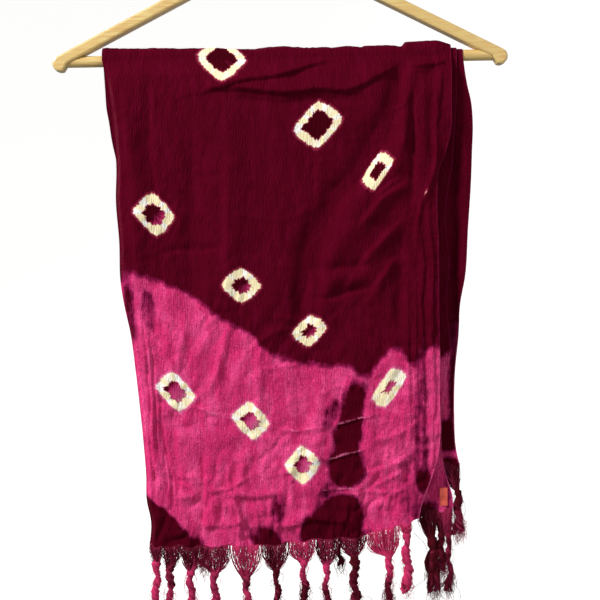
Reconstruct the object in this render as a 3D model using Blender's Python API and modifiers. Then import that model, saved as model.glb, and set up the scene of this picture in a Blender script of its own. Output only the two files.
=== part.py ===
"""A dupatta stole, doubled along and across its length and hung over the bar of a wooden clothes hanger.

The stole is one cloth, 0.71 m wide and 2 m long, with a selvedge down each long side and a fringe of twisted
tassels at each end. Folded selvedge to selvedge, then end to end, it lies over the bar at its middle: both
fringed ends hang in front, and the crosswise fold hangs behind. Three plies are built, from the outside in:

  outer  the first end's face ply, whose front carries the folds and the long fringe
  under  the first end's second ply, whose selvedge shows beside the outer one
  inner  the second end, which lies on the bar and ends higher

Each ply has a front stretch, a stretch over the bar and a back stretch. Metres, +Z up, +X along the bar,
-Y towards whoever looks at the front. The origin is the seat of the hanger's hook, where a rail carries it.
"""

import math
from collections import namedtuple

import bmesh
import bpy
import numpy as np

# ---------------------------------------------------------------- driving sizes
HANGER_WIDTH = 0.4456
BAR_DROP = 0.205  # hook seat to the bar's axis
BAR_DIAMETER = 0.011
BAR_SIDES = 24
ARM_DEPTH = 0.0145  # along Y
ARM_HEIGHT = 0.0112  # square to the arm's slope
ARM_SLOPE = math.radians(27.2)
ARM_EDGE_ROUND = 0.0022
CROWN_RADIUS = 0.045  # of the upper edge, over the middle
NOSE_RADIUS = 0.0078
NOSE_BELOW_BAR = 0.0098  # the nose's underside, below the bar's axis
HEEL_ANGLE = math.radians(-112)  # where the nose's round gives way to the heel that takes the bar
HEEL_INSET = 0.0150  # from the hanger's tip to the arm's lower edge
BAR_END_INSET = 0.0106  # from the hanger's tip to the bar's end, inside the nose
WIRE_DIAMETER = 0.0036
HOOK_INNER_RADIUS = 0.019
HOOK_START = math.radians(-48)  # where the loop's arc begins and ends, from +X towards +Z
HOOK_END = math.radians(196)
SHANK_DEPTH = 0.011  # of the hook's shank in the wood

WALL = 0.001  # each ply
SEAM_GAP = 0.0003
PLY_STEP = WALL + 0.00035  # from one ply's inner face to the next one's, on the bar
SETTLE_DROP = 0.045  # how far below the bar the plies part to their hanging places
BACK_DROP = 0.425  # the bar's axis to the crosswise fold
RETURN_RISE = 0.028  # how far the outer ply climbs inside that fold
BACK_INSET = 0.0025  # each inner ply's side edges lie this far inside the next one's, behind
BACK_SETTLE = 0.050  # the drop over which the back edges leave their places on the bar

BAR_RADIUS = BAR_DIAMETER / 2
BAR_Z = -BAR_DROP

# ---------------------------------------------------------------- how each ply hangs
# lift: from the bar to the ply's inner face; part: how much further out it hangs; sway: its own slack.
Ply = namedtuple("Ply", "name lift part sway")
INNER = Ply("inner", 0.00035, 0.0000, 0.0015)
UNDER = Ply("under", 0.00035 + PLY_STEP, 0.0020, 0.0012)
OUTER = Ply("outer", 0.00035 + 2 * PLY_STEP, 0.0034, 0.0)

# Edges of each front stretch at a drop below the bar's axis.
Edge = namedtuple("Edge", "drop x")
OUTER_LEFT = (
    Edge(0.000, -0.1737), Edge(0.021, -0.1693), Edge(0.044, -0.1657), Edge(0.078, -0.1624),
    Edge(0.104, -0.1609), Edge(0.138, -0.1619), Edge(0.177, -0.1594), Edge(0.218, -0.1586),
    Edge(0.242, -0.1550), Edge(0.264, -0.1504), Edge(0.305, -0.1454), Edge(0.332, -0.1427),
    Edge(0.373, -0.1392), Edge(0.407, -0.1371), Edge(0.428, -0.1371), Edge(0.451, -0.1331),
    Edge(0.476, -0.1352),
)
OUTER_RIGHT = (
    Edge(0.000, 0.1670), Edge(0.046, 0.1656), Edge(0.069, 0.1652), Edge(0.096, 0.1591),
    Edge(0.116, 0.1515), Edge(0.139, 0.1499), Edge(0.193, 0.1505), Edge(0.241, 0.1497),
    Edge(0.290, 0.1498), Edge(0.339, 0.1489), Edge(0.368, 0.1489), Edge(0.393, 0.1456),
    Edge(0.417, 0.1374), Edge(0.436, 0.1302), Edge(0.454, 0.1260), Edge(0.476, 0.1250),
)
UNDER_LEFT = (
    Edge(0.000, -0.1722), Edge(0.104, -0.1590), Edge(0.218, -0.1565), Edge(0.305, -0.1430),
    Edge(0.407, -0.1350), Edge(0.460, -0.1325),
)
UNDER_RIGHT = (
    Edge(0.000, 0.1727), Edge(0.046, 0.1710), Edge(0.083, 0.1681), Edge(0.106, 0.1661),
    Edge(0.137, 0.1607), Edge(0.152, 0.1585), Edge(0.207, 0.1615), Edge(0.241, 0.1584),
    Edge(0.285, 0.1611), Edge(0.324, 0.1555), Edge(0.363, 0.1510), Edge(0.393, 0.1514),
    Edge(0.427, 0.1557), Edge(0.460, 0.1555),
)
INNER_LEFT = (
    Edge(0.000, -0.1730), Edge(0.032, -0.1710), Edge(0.048, -0.1700), Edge(0.060, -0.1680),
    Edge(0.080, -0.1652), Edge(0.097, -0.1618), Edge(0.120, -0.1590), Edge(0.240, -0.1510),
    Edge(0.331, -0.1390), Edge(0.402, -0.1330),
)
INNER_RIGHT = (
    Edge(0.000, 0.1786), Edge(0.009, 0.1795), Edge(0.029, 0.1821), Edge(0.047, 0.1857),
    Edge(0.069, 0.1870), Edge(0.095, 0.1858), Edge(0.125, 0.1843), Edge(0.169, 0.1807),
    Edge(0.217, 0.1769), Edge(0.242, 0.1721), Edge(0.272, 0.1698), Edge(0.312, 0.1655),
    Edge(0.351, 0.1639), Edge(0.389, 0.1656), Edge(0.402, 0.1685),
)
BACK_LEFT = (
    Edge(0.000, -0.1710), Edge(0.060, -0.1650), Edge(0.140, -0.1585), Edge(0.240, -0.1510),
    Edge(0.330, -0.1390), Edge(0.400, -0.1330), Edge(0.460, -0.1310),
)
BACK_RIGHT = (
    Edge(0.000, 0.1700), Edge(0.060, 0.1740), Edge(0.140, 0.1710), Edge(0.240, 0.1640),
    Edge(0.330, 0.1590), Edge(0.400, 0.1570), Edge(0.460, 0.1560),
)

# Hem lines of the front stretches: the drop of the woven edge at a place along X.
Hem = namedtuple("Hem", "x drop")
OUTER_HEM = (
    Hem(-0.140, 0.4736), Hem(-0.060, 0.4750), Hem(0.000, 0.4730), Hem(0.020, 0.4700),
    Hem(0.060, 0.4695), Hem(0.075, 0.4670), Hem(0.095, 0.4600), Hem(0.130, 0.4535),
)
UNDER_HEM = (Hem(-0.140, 0.4500), Hem(0.000, 0.4480), Hem(0.160, 0.4430))
INNER_HEM = (Hem(-0.140, 0.4020), Hem(0.170, 0.4000))

# Folds of the hanging cloth: a soft ridge (or, with a negative height, a trough) from one end to the other.
Fold = namedtuple("Fold", "name x0 d0 x1 d1 half_width height")
FRONT_FOLDS = (
    Fold("swag under the bar", -0.070, 0.026, 0.066, 0.030, 0.0090, 0.0050),
    Fold("swag running up right", 0.050, 0.028, 0.112, 0.006, 0.0080, 0.0045),
    Fold("shade below the swag", -0.055, 0.044, 0.080, 0.044, 0.0075, -0.0050),
    Fold("upper pull of the swag", -0.030, 0.026, 0.090, 0.000, 0.0060, 0.0022),
    Fold("trough left of the tuck", 0.113, 0.012, 0.096, 0.080, 0.0100, -0.0060),
    Fold("trough sweeping down left", 0.096, 0.070, 0.044, 0.195, 0.0140, -0.0050),
    Fold("tuck beside the selvedge", 0.135, 0.004, 0.140, 0.110, 0.0160, 0.0050),
    Fold("pull above the pucker", 0.150, 0.090, 0.128, 0.140, 0.0080, 0.0030),
    Fold("pull into the middle", 0.120, 0.125, 0.060, 0.200, 0.0120, 0.0045),
    Fold("low pull into the middle", 0.108, 0.165, 0.072, 0.215, 0.0090, 0.0035),
    Fold("middle trough", 0.020, 0.115, 0.012, 0.280, 0.0110, -0.0040),
    Fold("ridge right of the middle", 0.040, 0.090, 0.034, 0.160, 0.0100, 0.0030),
    Fold("ridge left of the middle", -0.064, 0.040, -0.072, 0.200, 0.0130, 0.0030),
    Fold("trough left of that", -0.095, 0.060, -0.096, 0.260, 0.0150, -0.0030),
    Fold("left roll", -0.155, 0.030, -0.142, 0.230, 0.0110, 0.0040),
    Fold("left roll, lower", -0.140, 0.240, -0.126, 0.440, 0.0090, 0.0035),
    Fold("lower left gather", -0.118, 0.300, -0.110, 0.460, 0.0070, -0.0030),
    Fold("streak down left", -0.056, 0.255, -0.075, 0.320, 0.0090, 0.0035),
    Fold("streak beside it", -0.028, 0.275, -0.030, 0.335, 0.0080, 0.0030),
    Fold("crease to the hem", -0.084, 0.350, -0.086, 0.470, 0.0065, -0.0035),
    Fold("streak below the middle", -0.032, 0.370, -0.048, 0.430, 0.0085, 0.0035),
    Fold("hem ripple left", -0.060, 0.415, -0.002, 0.417, 0.0080, 0.0030),
    Fold("hem ripple right", 0.010, 0.440, 0.060, 0.447, 0.0080, 0.0030),
    Fold("pull across low right", 0.130, 0.360, 0.075, 0.395, 0.0085, 0.0040),
    Fold("pull across lower right", 0.128, 0.392, 0.068, 0.432, 0.0085, 0.0040),
    Fold("shade between the pulls", 0.120, 0.380, 0.072, 0.412, 0.0070, -0.0025),
    Fold("roll towards the hem", 0.030, 0.300, 0.026, 0.450, 0.0140, 0.0035),
    Fold("first edge pleat", 0.126, 0.230, 0.124, 0.400, 0.0045, 0.0026),
    Fold("second edge pleat", 0.134, 0.220, 0.132, 0.405, 0.0042, 0.0026),
    Fold("third edge pleat", 0.142, 0.150, 0.140, 0.400, 0.0042, 0.0026),
)
BACK_FOLDS = (
    Fold("swag behind the bar", -0.080, 0.034, 0.040, 0.026, 0.0100, 0.0045),
    Fold("shade below that swag", -0.070, 0.052, 0.040, 0.046, 0.0080, -0.0040),
    Fold("roll at the right hand", 0.150, 0.040, 0.142, 0.400, 0.0120, 0.0040),
    Fold("long trough, right", 0.105, 0.060, 0.098, 0.330, 0.0150, -0.0040),
    Fold("pull down from the bar", 0.060, 0.030, 0.030, 0.240, 0.0140, 0.0045),
    Fold("middle trough", -0.005, 0.090, 0.002, 0.300, 0.0130, -0.0040),
    Fold("long ridge, left", -0.060, 0.060, -0.068, 0.380, 0.0150, 0.0045),
    Fold("left trough", -0.100, 0.080, -0.096, 0.360, 0.0120, -0.0035),
    Fold("left roll", -0.150, 0.040, -0.124, 0.410, 0.0110, 0.0040),
    Fold("low pull", 0.090, 0.300, 0.020, 0.400, 0.0120, 0.0035),
)
FOLD_REST = 0.0045  # the slack around which the folds rise and sink
FOLD_FLOOR = 0.0004
FOLD_TAPER = 0.38  # the part of a fold's length over which it fades at each end

# Tassels: the stretch of hem that each gathers, where its stem hangs, how far below the hem it is bound,
# its whole length, its turns of twist and its yarns.
Tassel = namedtuple("Tassel", "left right stem neck length turns yarns")
OUTER_TASSELS = (
    Tassel(-0.1335, -0.1215, -0.1278, 0.015, 0.070, 1.0, 4),
    Tassel(-0.1205, -0.1050, -0.1148, 0.021, 0.074, -1.2, 4),
    Tassel(-0.1035, -0.0840, -0.0946, 0.024, 0.068, 1.0, 4),
    Tassel(-0.0825, -0.0570, -0.0716, 0.025, 0.072, 1.3, 4),
    Tassel(-0.0555, -0.0270, -0.0406, 0.030, 0.067, -1.0, 4),
    Tassel(-0.0255, 0.0000, -0.0119, 0.024, 0.071, 1.1, 4),
    Tassel(0.0015, 0.0245, 0.0147, 0.023, 0.065, 1.4, 4),
    Tassel(0.0260, 0.0485, 0.0362, 0.029, 0.069, -1.2, 4),
    Tassel(0.0500, 0.0740, 0.0635, 0.018, 0.062, 1.0, 4),
    Tassel(0.0770, 0.1060, 0.0965, 0.027, 0.077, 1.1, 4),
    Tassel(0.1080, 0.1190, 0.1143, 0.010, 0.064, 0.3, 3),
)
UNDER_TASSELS = (
    Tassel(-0.0950, -0.0780, -0.0830, 0.020, 0.062, 0.8, 3),
    Tassel(0.0420, 0.0560, 0.0500, 0.018, 0.064, 1.0, 3),
    Tassel(0.1270, 0.1460, 0.1395, 0.026, 0.086, 1.2, 6),
    Tassel(0.1475, 0.1545, 0.1552, 0.014, 0.082, -1.2, 3),
)
INNER_TASSELS = (Tassel(0.1560, 0.1665, 0.1650, 0.012, 0.072, 1.0, 4),)
YARN_RADIUS = 0.0010
YARN_PITCH = 0.0030  # from yarn to yarn round a stem
STEM_STEPS = 7
HEADING = 0.0030  # the woven strip that the yarns leave, parted from the hem
UNDER_STEM_BACK = 0.0025  # how far the hidden stems lean towards the bar's plane

# The small plain label sewn to the under ply beside its hem.
LABEL_SIZE = (0.0075, 0.0175)
LABEL_CENTRE = (0.1500, 0.4280)
LABEL_WALL = 0.0006

MAROON = (0.085, 0.002, 0.010)
MAGENTA = (0.52, 0.030, 0.135)
PALE_WOOD = (0.72, 0.45, 0.20)
STEEL = (0.62, 0.62, 0.62)
ORANGE = (0.72, 0.10, 0.06)


# ---------------------------------------------------------------- the scene and its materials
def empty_scene():
    for obj in list(bpy.data.objects):
        bpy.data.objects.remove(obj)


def new_collection(name):
    made = bpy.data.collections.new(name)
    bpy.context.scene.collection.children.link(made)
    return made


def material(name, colour, roughness, metallic=0.0):
    made = bpy.data.materials.new(name)
    made.use_nodes = True
    shader = made.node_tree.nodes["Principled BSDF"]
    shader.inputs["Base Color"].default_value = (*colour, 1.0)
    shader.inputs["Roughness"].default_value = roughness
    shader.inputs["Metallic"].default_value = metallic
    return made


def as_cutter(obj, cutters):
    """Marks an object as a helper: it shapes others and isn't part of the model."""
    for home in list(obj.users_collection):
        home.objects.unlink(obj)
    cutters.objects.link(obj)
    obj.hide_render = True
    obj.display_type = "WIRE"
    return obj


def mesh_from_curve(curve_object, collection, name):
    """The curve's tubes as one mesh object, with each tube's caps welded on."""
    graph = bpy.context.evaluated_depsgraph_get()
    mesh = bpy.data.meshes.new_from_object(curve_object.evaluated_get(graph))
    shape = bmesh.new()
    shape.from_mesh(mesh)
    bmesh.ops.remove_doubles(shape, verts=shape.verts, dist=1e-6)
    shape.to_mesh(mesh)
    shape.free()
    made = bpy.data.objects.new(name, mesh)
    made.matrix_world = curve_object.matrix_world
    collection.objects.link(made)
    bpy.data.objects.remove(curve_object)
    return made


# ---------------------------------------------------------------- the cloth's form
def smooth_step(value):
    value = np.clip(value, 0.0, 1.0)
    return value * value * (3.0 - 2.0 * value)


def through(rows, at):
    """A smooth curve through the rows' (first column, second column), read at the given places."""
    xs = np.array([row[0] for row in rows])
    ys = np.array([row[1] for row in rows])
    slopes = np.gradient(ys, xs)
    at = np.clip(at, xs[0], xs[-1])
    k = np.clip(np.searchsorted(xs, at, side="right") - 1, 0, len(xs) - 2)
    span = xs[k + 1] - xs[k]
    t = (at - xs[k]) / span
    rise = (2 * t**3 - 3 * t**2 + 1) * ys[k] + (3 * t**2 - 2 * t**3) * ys[k + 1]
    lean = (t**3 - 2 * t**2 + t) * span * slopes[k] + (t**3 - t**2) * span * slopes[k + 1]
    return rise + lean


def fold_height(folds, x, drop):
    """How far the folds stand out at each point: each is a bell across its line that fades at both ends."""
    height = np.full(np.broadcast(x, drop).shape, FOLD_REST)
    for fold in folds:
        run = np.array([fold.x1 - fold.x0, fold.d1 - fold.d0])
        length = math.hypot(*run)
        along = ((x - fold.x0) * run[0] + (drop - fold.d0) * run[1]) / length
        across = ((x - fold.x0) * run[1] - (drop - fold.d0) * run[0]) / length
        inside = np.clip(np.minimum(along, length - along) / (FOLD_TAPER * length) + 0.25, 0.0, 1.0)
        height = height + fold.height * smooth_step(inside) * np.exp(-((across / fold.half_width) ** 2))
    excess = height - FOLD_FLOOR
    return FOLD_FLOOR + 0.5 * (excess + np.sqrt(excess**2 + 0.0015**2))


def hanging_distance(ply, folds, x, drop, edge_distance):
    """From the bar's axis plane out to the ply's inner face, at a drop below the bar."""
    settled = smooth_step(drop / SETTLE_DROP)
    slack = ply.sway * (0.5 + 0.5 * np.sin(2 * math.pi * (x / 0.085 + drop / 0.31)))
    if ply is OUTER:
        roll = smooth_step(edge_distance / 0.006)  # the lengthwise fold turns back at the left edge
        slack = fold_height(folds, x, drop) * roll
    return BAR_RADIUS + ply.lift + settled * (ply.part + slack)


# ---------------------------------------------------------------- the cloth's solids
def sheet(name, columns, rows, point, in_front, home, cloth):
    """A ply's stretch: a grid whose corners the point function places, given a wall away from the bar."""
    shape = bmesh.new()
    bmesh.ops.create_grid(shape, x_segments=len(columns) - 1, y_segments=len(rows) - 1, size=0.5)
    u = columns[[round((v.co.x + 0.5) * (len(columns) - 1)) for v in shape.verts]]
    s = rows[[round((v.co.y + 0.5) * (len(rows) - 1)) for v in shape.verts]]
    for vertex, place in zip(shape.verts, point(u, s)):
        vertex.co = place
    if in_front:
        bmesh.ops.reverse_faces(shape, faces=shape.faces)
    mesh = bpy.data.meshes.new(name)
    shape.to_mesh(mesh)
    shape.free()
    mesh.shade_smooth()
    made = bpy.data.objects.new(name, mesh)
    made.data.materials.append(cloth)
    home.objects.link(made)
    wall = made.modifiers.new("wall", "SOLIDIFY")
    wall.thickness = WALL
    wall.offset = 1.0
    return made


def drop_of_hem(left, right, hem, u):
    """The hem's drop at a part u of the way across, where both the hem and the edges slope."""
    drop = np.full(np.shape(u), hem[0].drop)
    for _ in range(6):
        drop = through(hem, through(left, drop) * (1 - u) + through(right, drop) * u)
    return drop


def front_stretch(ply, left, right, hem, folds):
    """The point function of a front stretch: u across it, s down it from the bar to the hem."""

    def point(u, s):
        drop = SEAM_GAP / 2 + s * (drop_of_hem(left, right, hem, u) - SEAM_GAP / 2)
        lo, hi = through(left, drop), through(right, drop)
        x = lo + (hi - lo) * u
        out = hanging_distance(ply, folds, x, drop, x - lo)
        return np.stack([x, -out, BAR_Z - drop], axis=-1)

    return point


def over_the_bar(ply, left, right):
    """The point function of a stretch over the bar: u along it, s round from front to back."""

    def point(u, s):
        radius = BAR_RADIUS + ply.lift
        margin = SEAM_GAP / 2 / radius
        angle = margin + s * (math.pi - 2 * margin)
        x = through(left, 0.0) * (1 - u) + through(right, 0.0) * u
        return np.stack([x, -radius * np.cos(angle), BAR_Z + radius * np.sin(angle)], axis=-1)

    return point


def crosswise_fold():
    """The outer ply's distance out where the crosswise fold begins, and the radius of its turn."""
    level = float(hanging_distance(OUTER, (), 0.0, BACK_DROP, 1.0))
    inside = float(hanging_distance(INNER, (), 0.0, BACK_DROP, 1.0)) + WALL
    return level, (level - inside) / 2


def back_stretch(ply, left, right, inset, bottom, folds, turns=False):
    """The point function of a back stretch, down to its bottom. One that turns makes the crosswise fold there
    and climbs inside to where the inner ply ends."""
    level, fold_radius = crosswise_fold()
    turn_radius = fold_radius if turns else 0.0

    def point(u, s):
        turn = math.pi * turn_radius
        straight = bottom - turn_radius
        total = straight + turn + (RETURN_RISE if turns else 0.0)
        path = SEAM_GAP / 2 + s * (total - SEAM_GAP / 2)
        angle = np.clip((path - straight) / max(turn_radius, 1e-9), 0.0, math.pi)
        climbed = np.maximum(path - straight - turn, 0.0)
        drop = np.minimum(path, straight) + turn_radius * np.sin(angle) - climbed
        settled = smooth_step(drop / BACK_SETTLE)
        lo = through(left, 0.0) * (1 - settled) + (through(BACK_LEFT, drop) + inset) * settled
        hi = through(right, 0.0) * (1 - settled) + (through(BACK_RIGHT, drop) - inset) * settled
        x = lo + (hi - lo) * u
        out = hanging_distance(ply, folds, x, drop, x - lo)
        if turns:
            flat = smooth_step((straight - path) / 0.030)  # the folds die away above the turn
            out = level + (out - level) * flat - turn_radius * (1 - np.cos(angle))
        return np.stack([x, out, BAR_Z - drop], axis=-1)

    return point


def spaced(*stretches):
    """Grid places from 0 to 1: each stretch is (its end, its number of steps)."""
    places = [0.0]
    for end, steps in stretches:
        start = places[-1]
        places += [start + (end - start) * (k + 1) / steps for k in range(steps)]
    return np.array(places)


def build_cloth(home, cloth):
    fine_across = spaced((0.88, 23), (1.0, 7))
    coarse_across = spaced((0.85, 6), (1.0, 3))
    back_across = spaced((1.0, 16))
    front_down = spaced((0.18, 9), (1.0, 23))
    coarse_down = spaced((0.12, 3), (1.0, 11))
    round_bar = spaced((1.0, 8))
    turn_down = spaced((0.16, 6), (0.895, 14), (0.945, 8), (1.0, 2))

    fronts = (
        (OUTER, OUTER_LEFT, OUTER_RIGHT, OUTER_HEM, fine_across, front_down),
        (UNDER, UNDER_LEFT, UNDER_RIGHT, UNDER_HEM, coarse_across, coarse_down),
        (INNER, INNER_LEFT, INNER_RIGHT, INNER_HEM, coarse_across, coarse_down),
    )
    for ply, left, right, hem, across, down in fronts:
        front = front_stretch(ply, left, right, hem, FRONT_FOLDS)
        sheet(f"{ply.name}_front", across, down, front, True, home, cloth)
        bar = over_the_bar(ply, left, right)
        sheet(f"{ply.name}_over_bar", across, round_bar, bar, False, home, cloth)

    turn_radius = crosswise_fold()[1]
    under_bottom = BACK_DROP - 2 * turn_radius
    inner_bottom = BACK_DROP - turn_radius - RETURN_RISE - SEAM_GAP
    outer_back = back_stretch(OUTER, OUTER_LEFT, OUTER_RIGHT, 0.0, BACK_DROP, BACK_FOLDS, True)
    sheet("outer_back", back_across, turn_down, outer_back, False, home, cloth)
    under_back = back_stretch(UNDER, UNDER_LEFT, UNDER_RIGHT, BACK_INSET, under_bottom, ())
    sheet("under_back", coarse_across, coarse_down, under_back, False, home, cloth)
    inner_back = back_stretch(INNER, INNER_LEFT, INNER_RIGHT, 2 * BACK_INSET, inner_bottom, ())
    sheet("inner_back", coarse_across, coarse_down, inner_back, False, home, cloth)


# ---------------------------------------------------------------- fringes and label
def heading(ply, left, right, hem, folds):
    """The point function of the strip below a hem: it follows the hem at a seam's gap."""

    def point(u, s):
        drop = drop_of_hem(left, right, hem, u) + SEAM_GAP + s * HEADING
        lo, hi = through(left, drop), through(right, drop)
        x = lo + (hi - lo) * u
        out = hanging_distance(ply, folds, x, drop, x - lo)
        return np.stack([x, -out, BAR_Z - drop], axis=-1)

    return point


def yarn_paths(tassel, ply, left, hem, folds, lean):
    """Each yarn's points: from its root in the heading to the neck, then wound round its fellows."""
    winding = YARN_PITCH / (2 * math.sin(math.pi / tassel.yarns))
    root_drop = float(through(hem, tassel.stem)) + SEAM_GAP + HEADING / 2
    edge = float(through(left, root_drop))
    order = sorted(range(tassel.yarns), key=lambda k: math.cos(math.pi + (k + 0.3) * 2 * math.pi / tassel.yarns))
    paths = []
    for place, k in enumerate(order):
        x = tassel.left + (place + 0.5) / tassel.yarns * (tassel.right - tassel.left)
        drop = float(through(hem, x)) + SEAM_GAP + HEADING / 2
        out = float(hanging_distance(ply, folds, x, drop, x - edge)) + WALL / 2
        points = [(x, -out, BAR_Z - drop)]
        stem_out = float(hanging_distance(ply, folds, tassel.stem, root_drop, tassel.stem - edge)) + WALL / 2
        for step in range(STEM_STEPS):
            t = step / (STEM_STEPS - 1)
            angle = math.pi + (k + 0.3) * 2 * math.pi / tassel.yarns + 2 * math.pi * tassel.turns * t
            down = root_drop + tassel.neck + t * (tassel.length - tassel.neck)
            points.append((
                tassel.stem + winding * math.cos(angle),
                -(stem_out - lean) + winding * math.sin(angle),
                BAR_Z - down,
            ))
        paths.append(points)
    return paths


def poly_tubes(name, paths, radius, resolution, home):
    curve = bpy.data.curves.new(name, "CURVE")
    curve.dimensions = "3D"
    curve.bevel_depth = radius
    curve.bevel_resolution = resolution
    curve.use_fill_caps = True
    for points in paths:
        spline = curve.splines.new("POLY")
        spline.points.add(len(points) - 1)
        for place, point in zip(spline.points, points):
            place.co = (*point, 1.0)
    made = bpy.data.objects.new(name, curve)
    home.objects.link(made)
    return made


def join_with(target, other, cutters):
    """Adds the other mesh to the target, as one body."""
    as_cutter(other, cutters)
    union = target.modifiers.new("joined", "BOOLEAN")
    union.operation = "UNION"
    union.object = other


def fringe(name, ply, edges, hem, folds, steps, tassels, lean, home, cutters, cloth):
    """The heading below a hem, with its tassels' yarns rooted in it."""
    left, right = edges
    strip = sheet(name, spaced((1.0, steps)), np.array([0.0, 1.0]),
                  heading(ply, left, right, hem, folds), True, home, cloth)
    paths = []
    for tassel in tassels:
        paths += yarn_paths(tassel, ply, left, hem, folds, lean)
    yarns = poly_tubes(f"{name}_yarns", paths, YARN_RADIUS, 0, home)
    join_with(strip, mesh_from_curve(yarns, home, f"{name}_yarn_mesh"), cutters)


def build_trims(home, cutters, cloth, plain):
    fringe("outer_fringe", OUTER, (OUTER_LEFT, OUTER_RIGHT), OUTER_HEM, FRONT_FOLDS, 52,
           OUTER_TASSELS, 0.0, home, cutters, cloth)
    fringe("under_fringe", UNDER, (UNDER_LEFT, UNDER_RIGHT), UNDER_HEM, (), 26,
           UNDER_TASSELS, UNDER_STEM_BACK, home, cutters, cloth)
    fringe("inner_fringe", INNER, (INNER_LEFT, INNER_RIGHT), INNER_HEM, (), 26,
           INNER_TASSELS, 0.0, home, cutters, cloth)

    def on_under(u, s):
        x = LABEL_CENTRE[0] + (u - 0.5) * LABEL_SIZE[0]
        drop = LABEL_CENTRE[1] + (s - 0.5) * LABEL_SIZE[1]
        out = hanging_distance(UNDER, (), x, drop, 1.0) + WALL + SEAM_GAP
        return np.stack([x, -out, BAR_Z - drop], axis=-1)

    tab = sheet("label", spaced((1.0, 2)), spaced((1.0, 3)), on_under, True, home, plain)
    tab.modifiers["wall"].thickness = LABEL_WALL


# ---------------------------------------------------------------- the hanger
def arc(centre, radius, start, end, steps):
    """Points round a centre in the XZ plane, from one angle to another."""
    angles = [start + (end - start) * k / steps for k in range(steps + 1)]
    return [(centre[0] + radius * math.cos(a), centre[1] + radius * math.sin(a)) for a in angles]


def shoulder_outline():
    """The shoulders' outline, as (x, height over the bar's axis): crown, right arm, right nose, and its mirror."""
    slope = math.tan(ARM_SLOPE)
    half = HANGER_WIDTH / 2
    nose = (half - NOSE_RADIUS, NOSE_RADIUS - NOSE_BELOW_BAR)
    apex = nose[1] + NOSE_RADIUS / math.cos(ARM_SLOPE) + slope * nose[0]
    crown = (0.0, apex - CROWN_RADIUS / math.cos(ARM_SLOPE))
    tilt = math.pi / 2 - ARM_SLOPE
    upper = arc(crown, CROWN_RADIUS, math.pi / 2, tilt, 5)
    nose_arc = arc(nose, NOSE_RADIUS, tilt, HEEL_ANGLE, 11)
    inner = half - HEEL_INSET
    heel = (inner, apex - ARM_HEIGHT / math.cos(ARM_SLOPE) - slope * inner)
    lower = arc(crown, CROWN_RADIUS - ARM_HEIGHT, tilt, math.pi / 2, 5)
    right = upper + nose_arc + [heel] + lower
    left = [(-x, z) for x, z in reversed(right[1:-1])]
    return right + left


def crown_top():
    return max(z for _, z in shoulder_outline())


def bore(target, name, cutters):
    """Cuts the active object, a rod just made, out of the target."""
    rod = as_cutter(bpy.context.object, cutters)
    rod.name = name
    cut = target.modifiers.new(name, "BOOLEAN")
    cut.operation = "DIFFERENCE"
    cut.object = rod


def build_hanger(home, cutters, wood, steel):
    curve = bpy.data.curves.new("shoulders", "CURVE")
    curve.dimensions = "2D"
    curve.fill_mode = "BOTH"
    curve.extrude = ARM_DEPTH / 2 - ARM_EDGE_ROUND
    curve.bevel_depth = ARM_EDGE_ROUND
    curve.bevel_resolution = 1
    curve.offset = -ARM_EDGE_ROUND
    outline = shoulder_outline()
    spline = curve.splines.new("POLY")
    spline.points.add(len(outline) - 1)
    for place, (x, z) in zip(spline.points, outline):
        place.co = (x, z, 0.0, 1.0)
    spline.use_cyclic_u = True
    flat = bpy.data.objects.new("shoulders_outline", curve)
    home.objects.link(flat)
    flat.rotation_euler.x = math.pi / 2
    flat.location.z = BAR_Z
    bpy.context.view_layer.update()
    shoulders = mesh_from_curve(flat, home, "shoulders")
    shoulders.data.materials.clear()
    shoulders.data.materials.append(wood)

    bore_depth = SHANK_DEPTH + SEAM_GAP
    bpy.ops.mesh.primitive_cylinder_add(
        vertices=16, radius=WIRE_DIAMETER / 2 + SEAM_GAP, depth=2 * bore_depth,
        location=(0.0, 0.0, BAR_Z + crown_top()))
    bore(shoulders, "shank_bore", cutters)

    length = HANGER_WIDTH - 2 * BAR_END_INSET
    clear_of_flats = (BAR_RADIUS + SEAM_GAP) / math.cos(math.pi / BAR_SIDES)
    bpy.ops.mesh.primitive_cylinder_add(
        vertices=BAR_SIDES, radius=clear_of_flats, depth=length + 2 * SEAM_GAP, location=(0.0, 0.0, BAR_Z),
        rotation=(0.0, math.pi / 2, 0.0))
    bore(shoulders, "bar_bore", cutters)
    bpy.ops.mesh.primitive_cylinder_add(
        vertices=BAR_SIDES, radius=BAR_RADIUS, depth=length, location=(0.0, 0.0, BAR_Z),
        rotation=(0.0, math.pi / 2, 0.0))
    bar = bpy.context.object
    bar.name = "trouser_bar"
    bar.data.materials.append(wood)
    bar.data.shade_smooth()
    bar.data.set_sharp_from_angle(angle=math.radians(50))
    for owner in list(bar.users_collection):
        owner.objects.unlink(bar)
    home.objects.link(bar)

    hook = poly_tubes("hook", [hook_path()], WIRE_DIAMETER / 2, 3, home)
    hook.data.materials.append(steel)


def hook_path():
    """The wire's axis: up out of the crown, out to one side, and round over the seat."""
    radius = HOOK_INNER_RADIUS + WIRE_DIAMETER / 2
    centre = (0.0, -HOOK_INNER_RADIUS)
    foot = BAR_Z + crown_top() - SHANK_DEPTH
    neck = centre[1] - radius - 0.016
    shank = [(0.0, foot + (neck - foot) * k / 4) for k in range(5)]
    loop = arc(centre, radius, HOOK_START, HOOK_END, 26)
    start, end = np.array(shank[-1]), np.array(loop[0])
    reach = float(np.linalg.norm(end - start)) * 1.1
    leave = np.array([0.0, reach])
    arrive = reach * np.array([-math.sin(HOOK_START), math.cos(HOOK_START)])
    bend = []
    for k in range(1, 7):
        t = k / 7
        bend.append(tuple(
            (2 * t**3 - 3 * t**2 + 1) * start + (t**3 - 2 * t**2 + t) * leave
            + (3 * t**2 - 2 * t**3) * end + (t**3 - t**2) * arrive))
    return [(x, 0.0, z) for x, z in shank + bend + loop]


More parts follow.
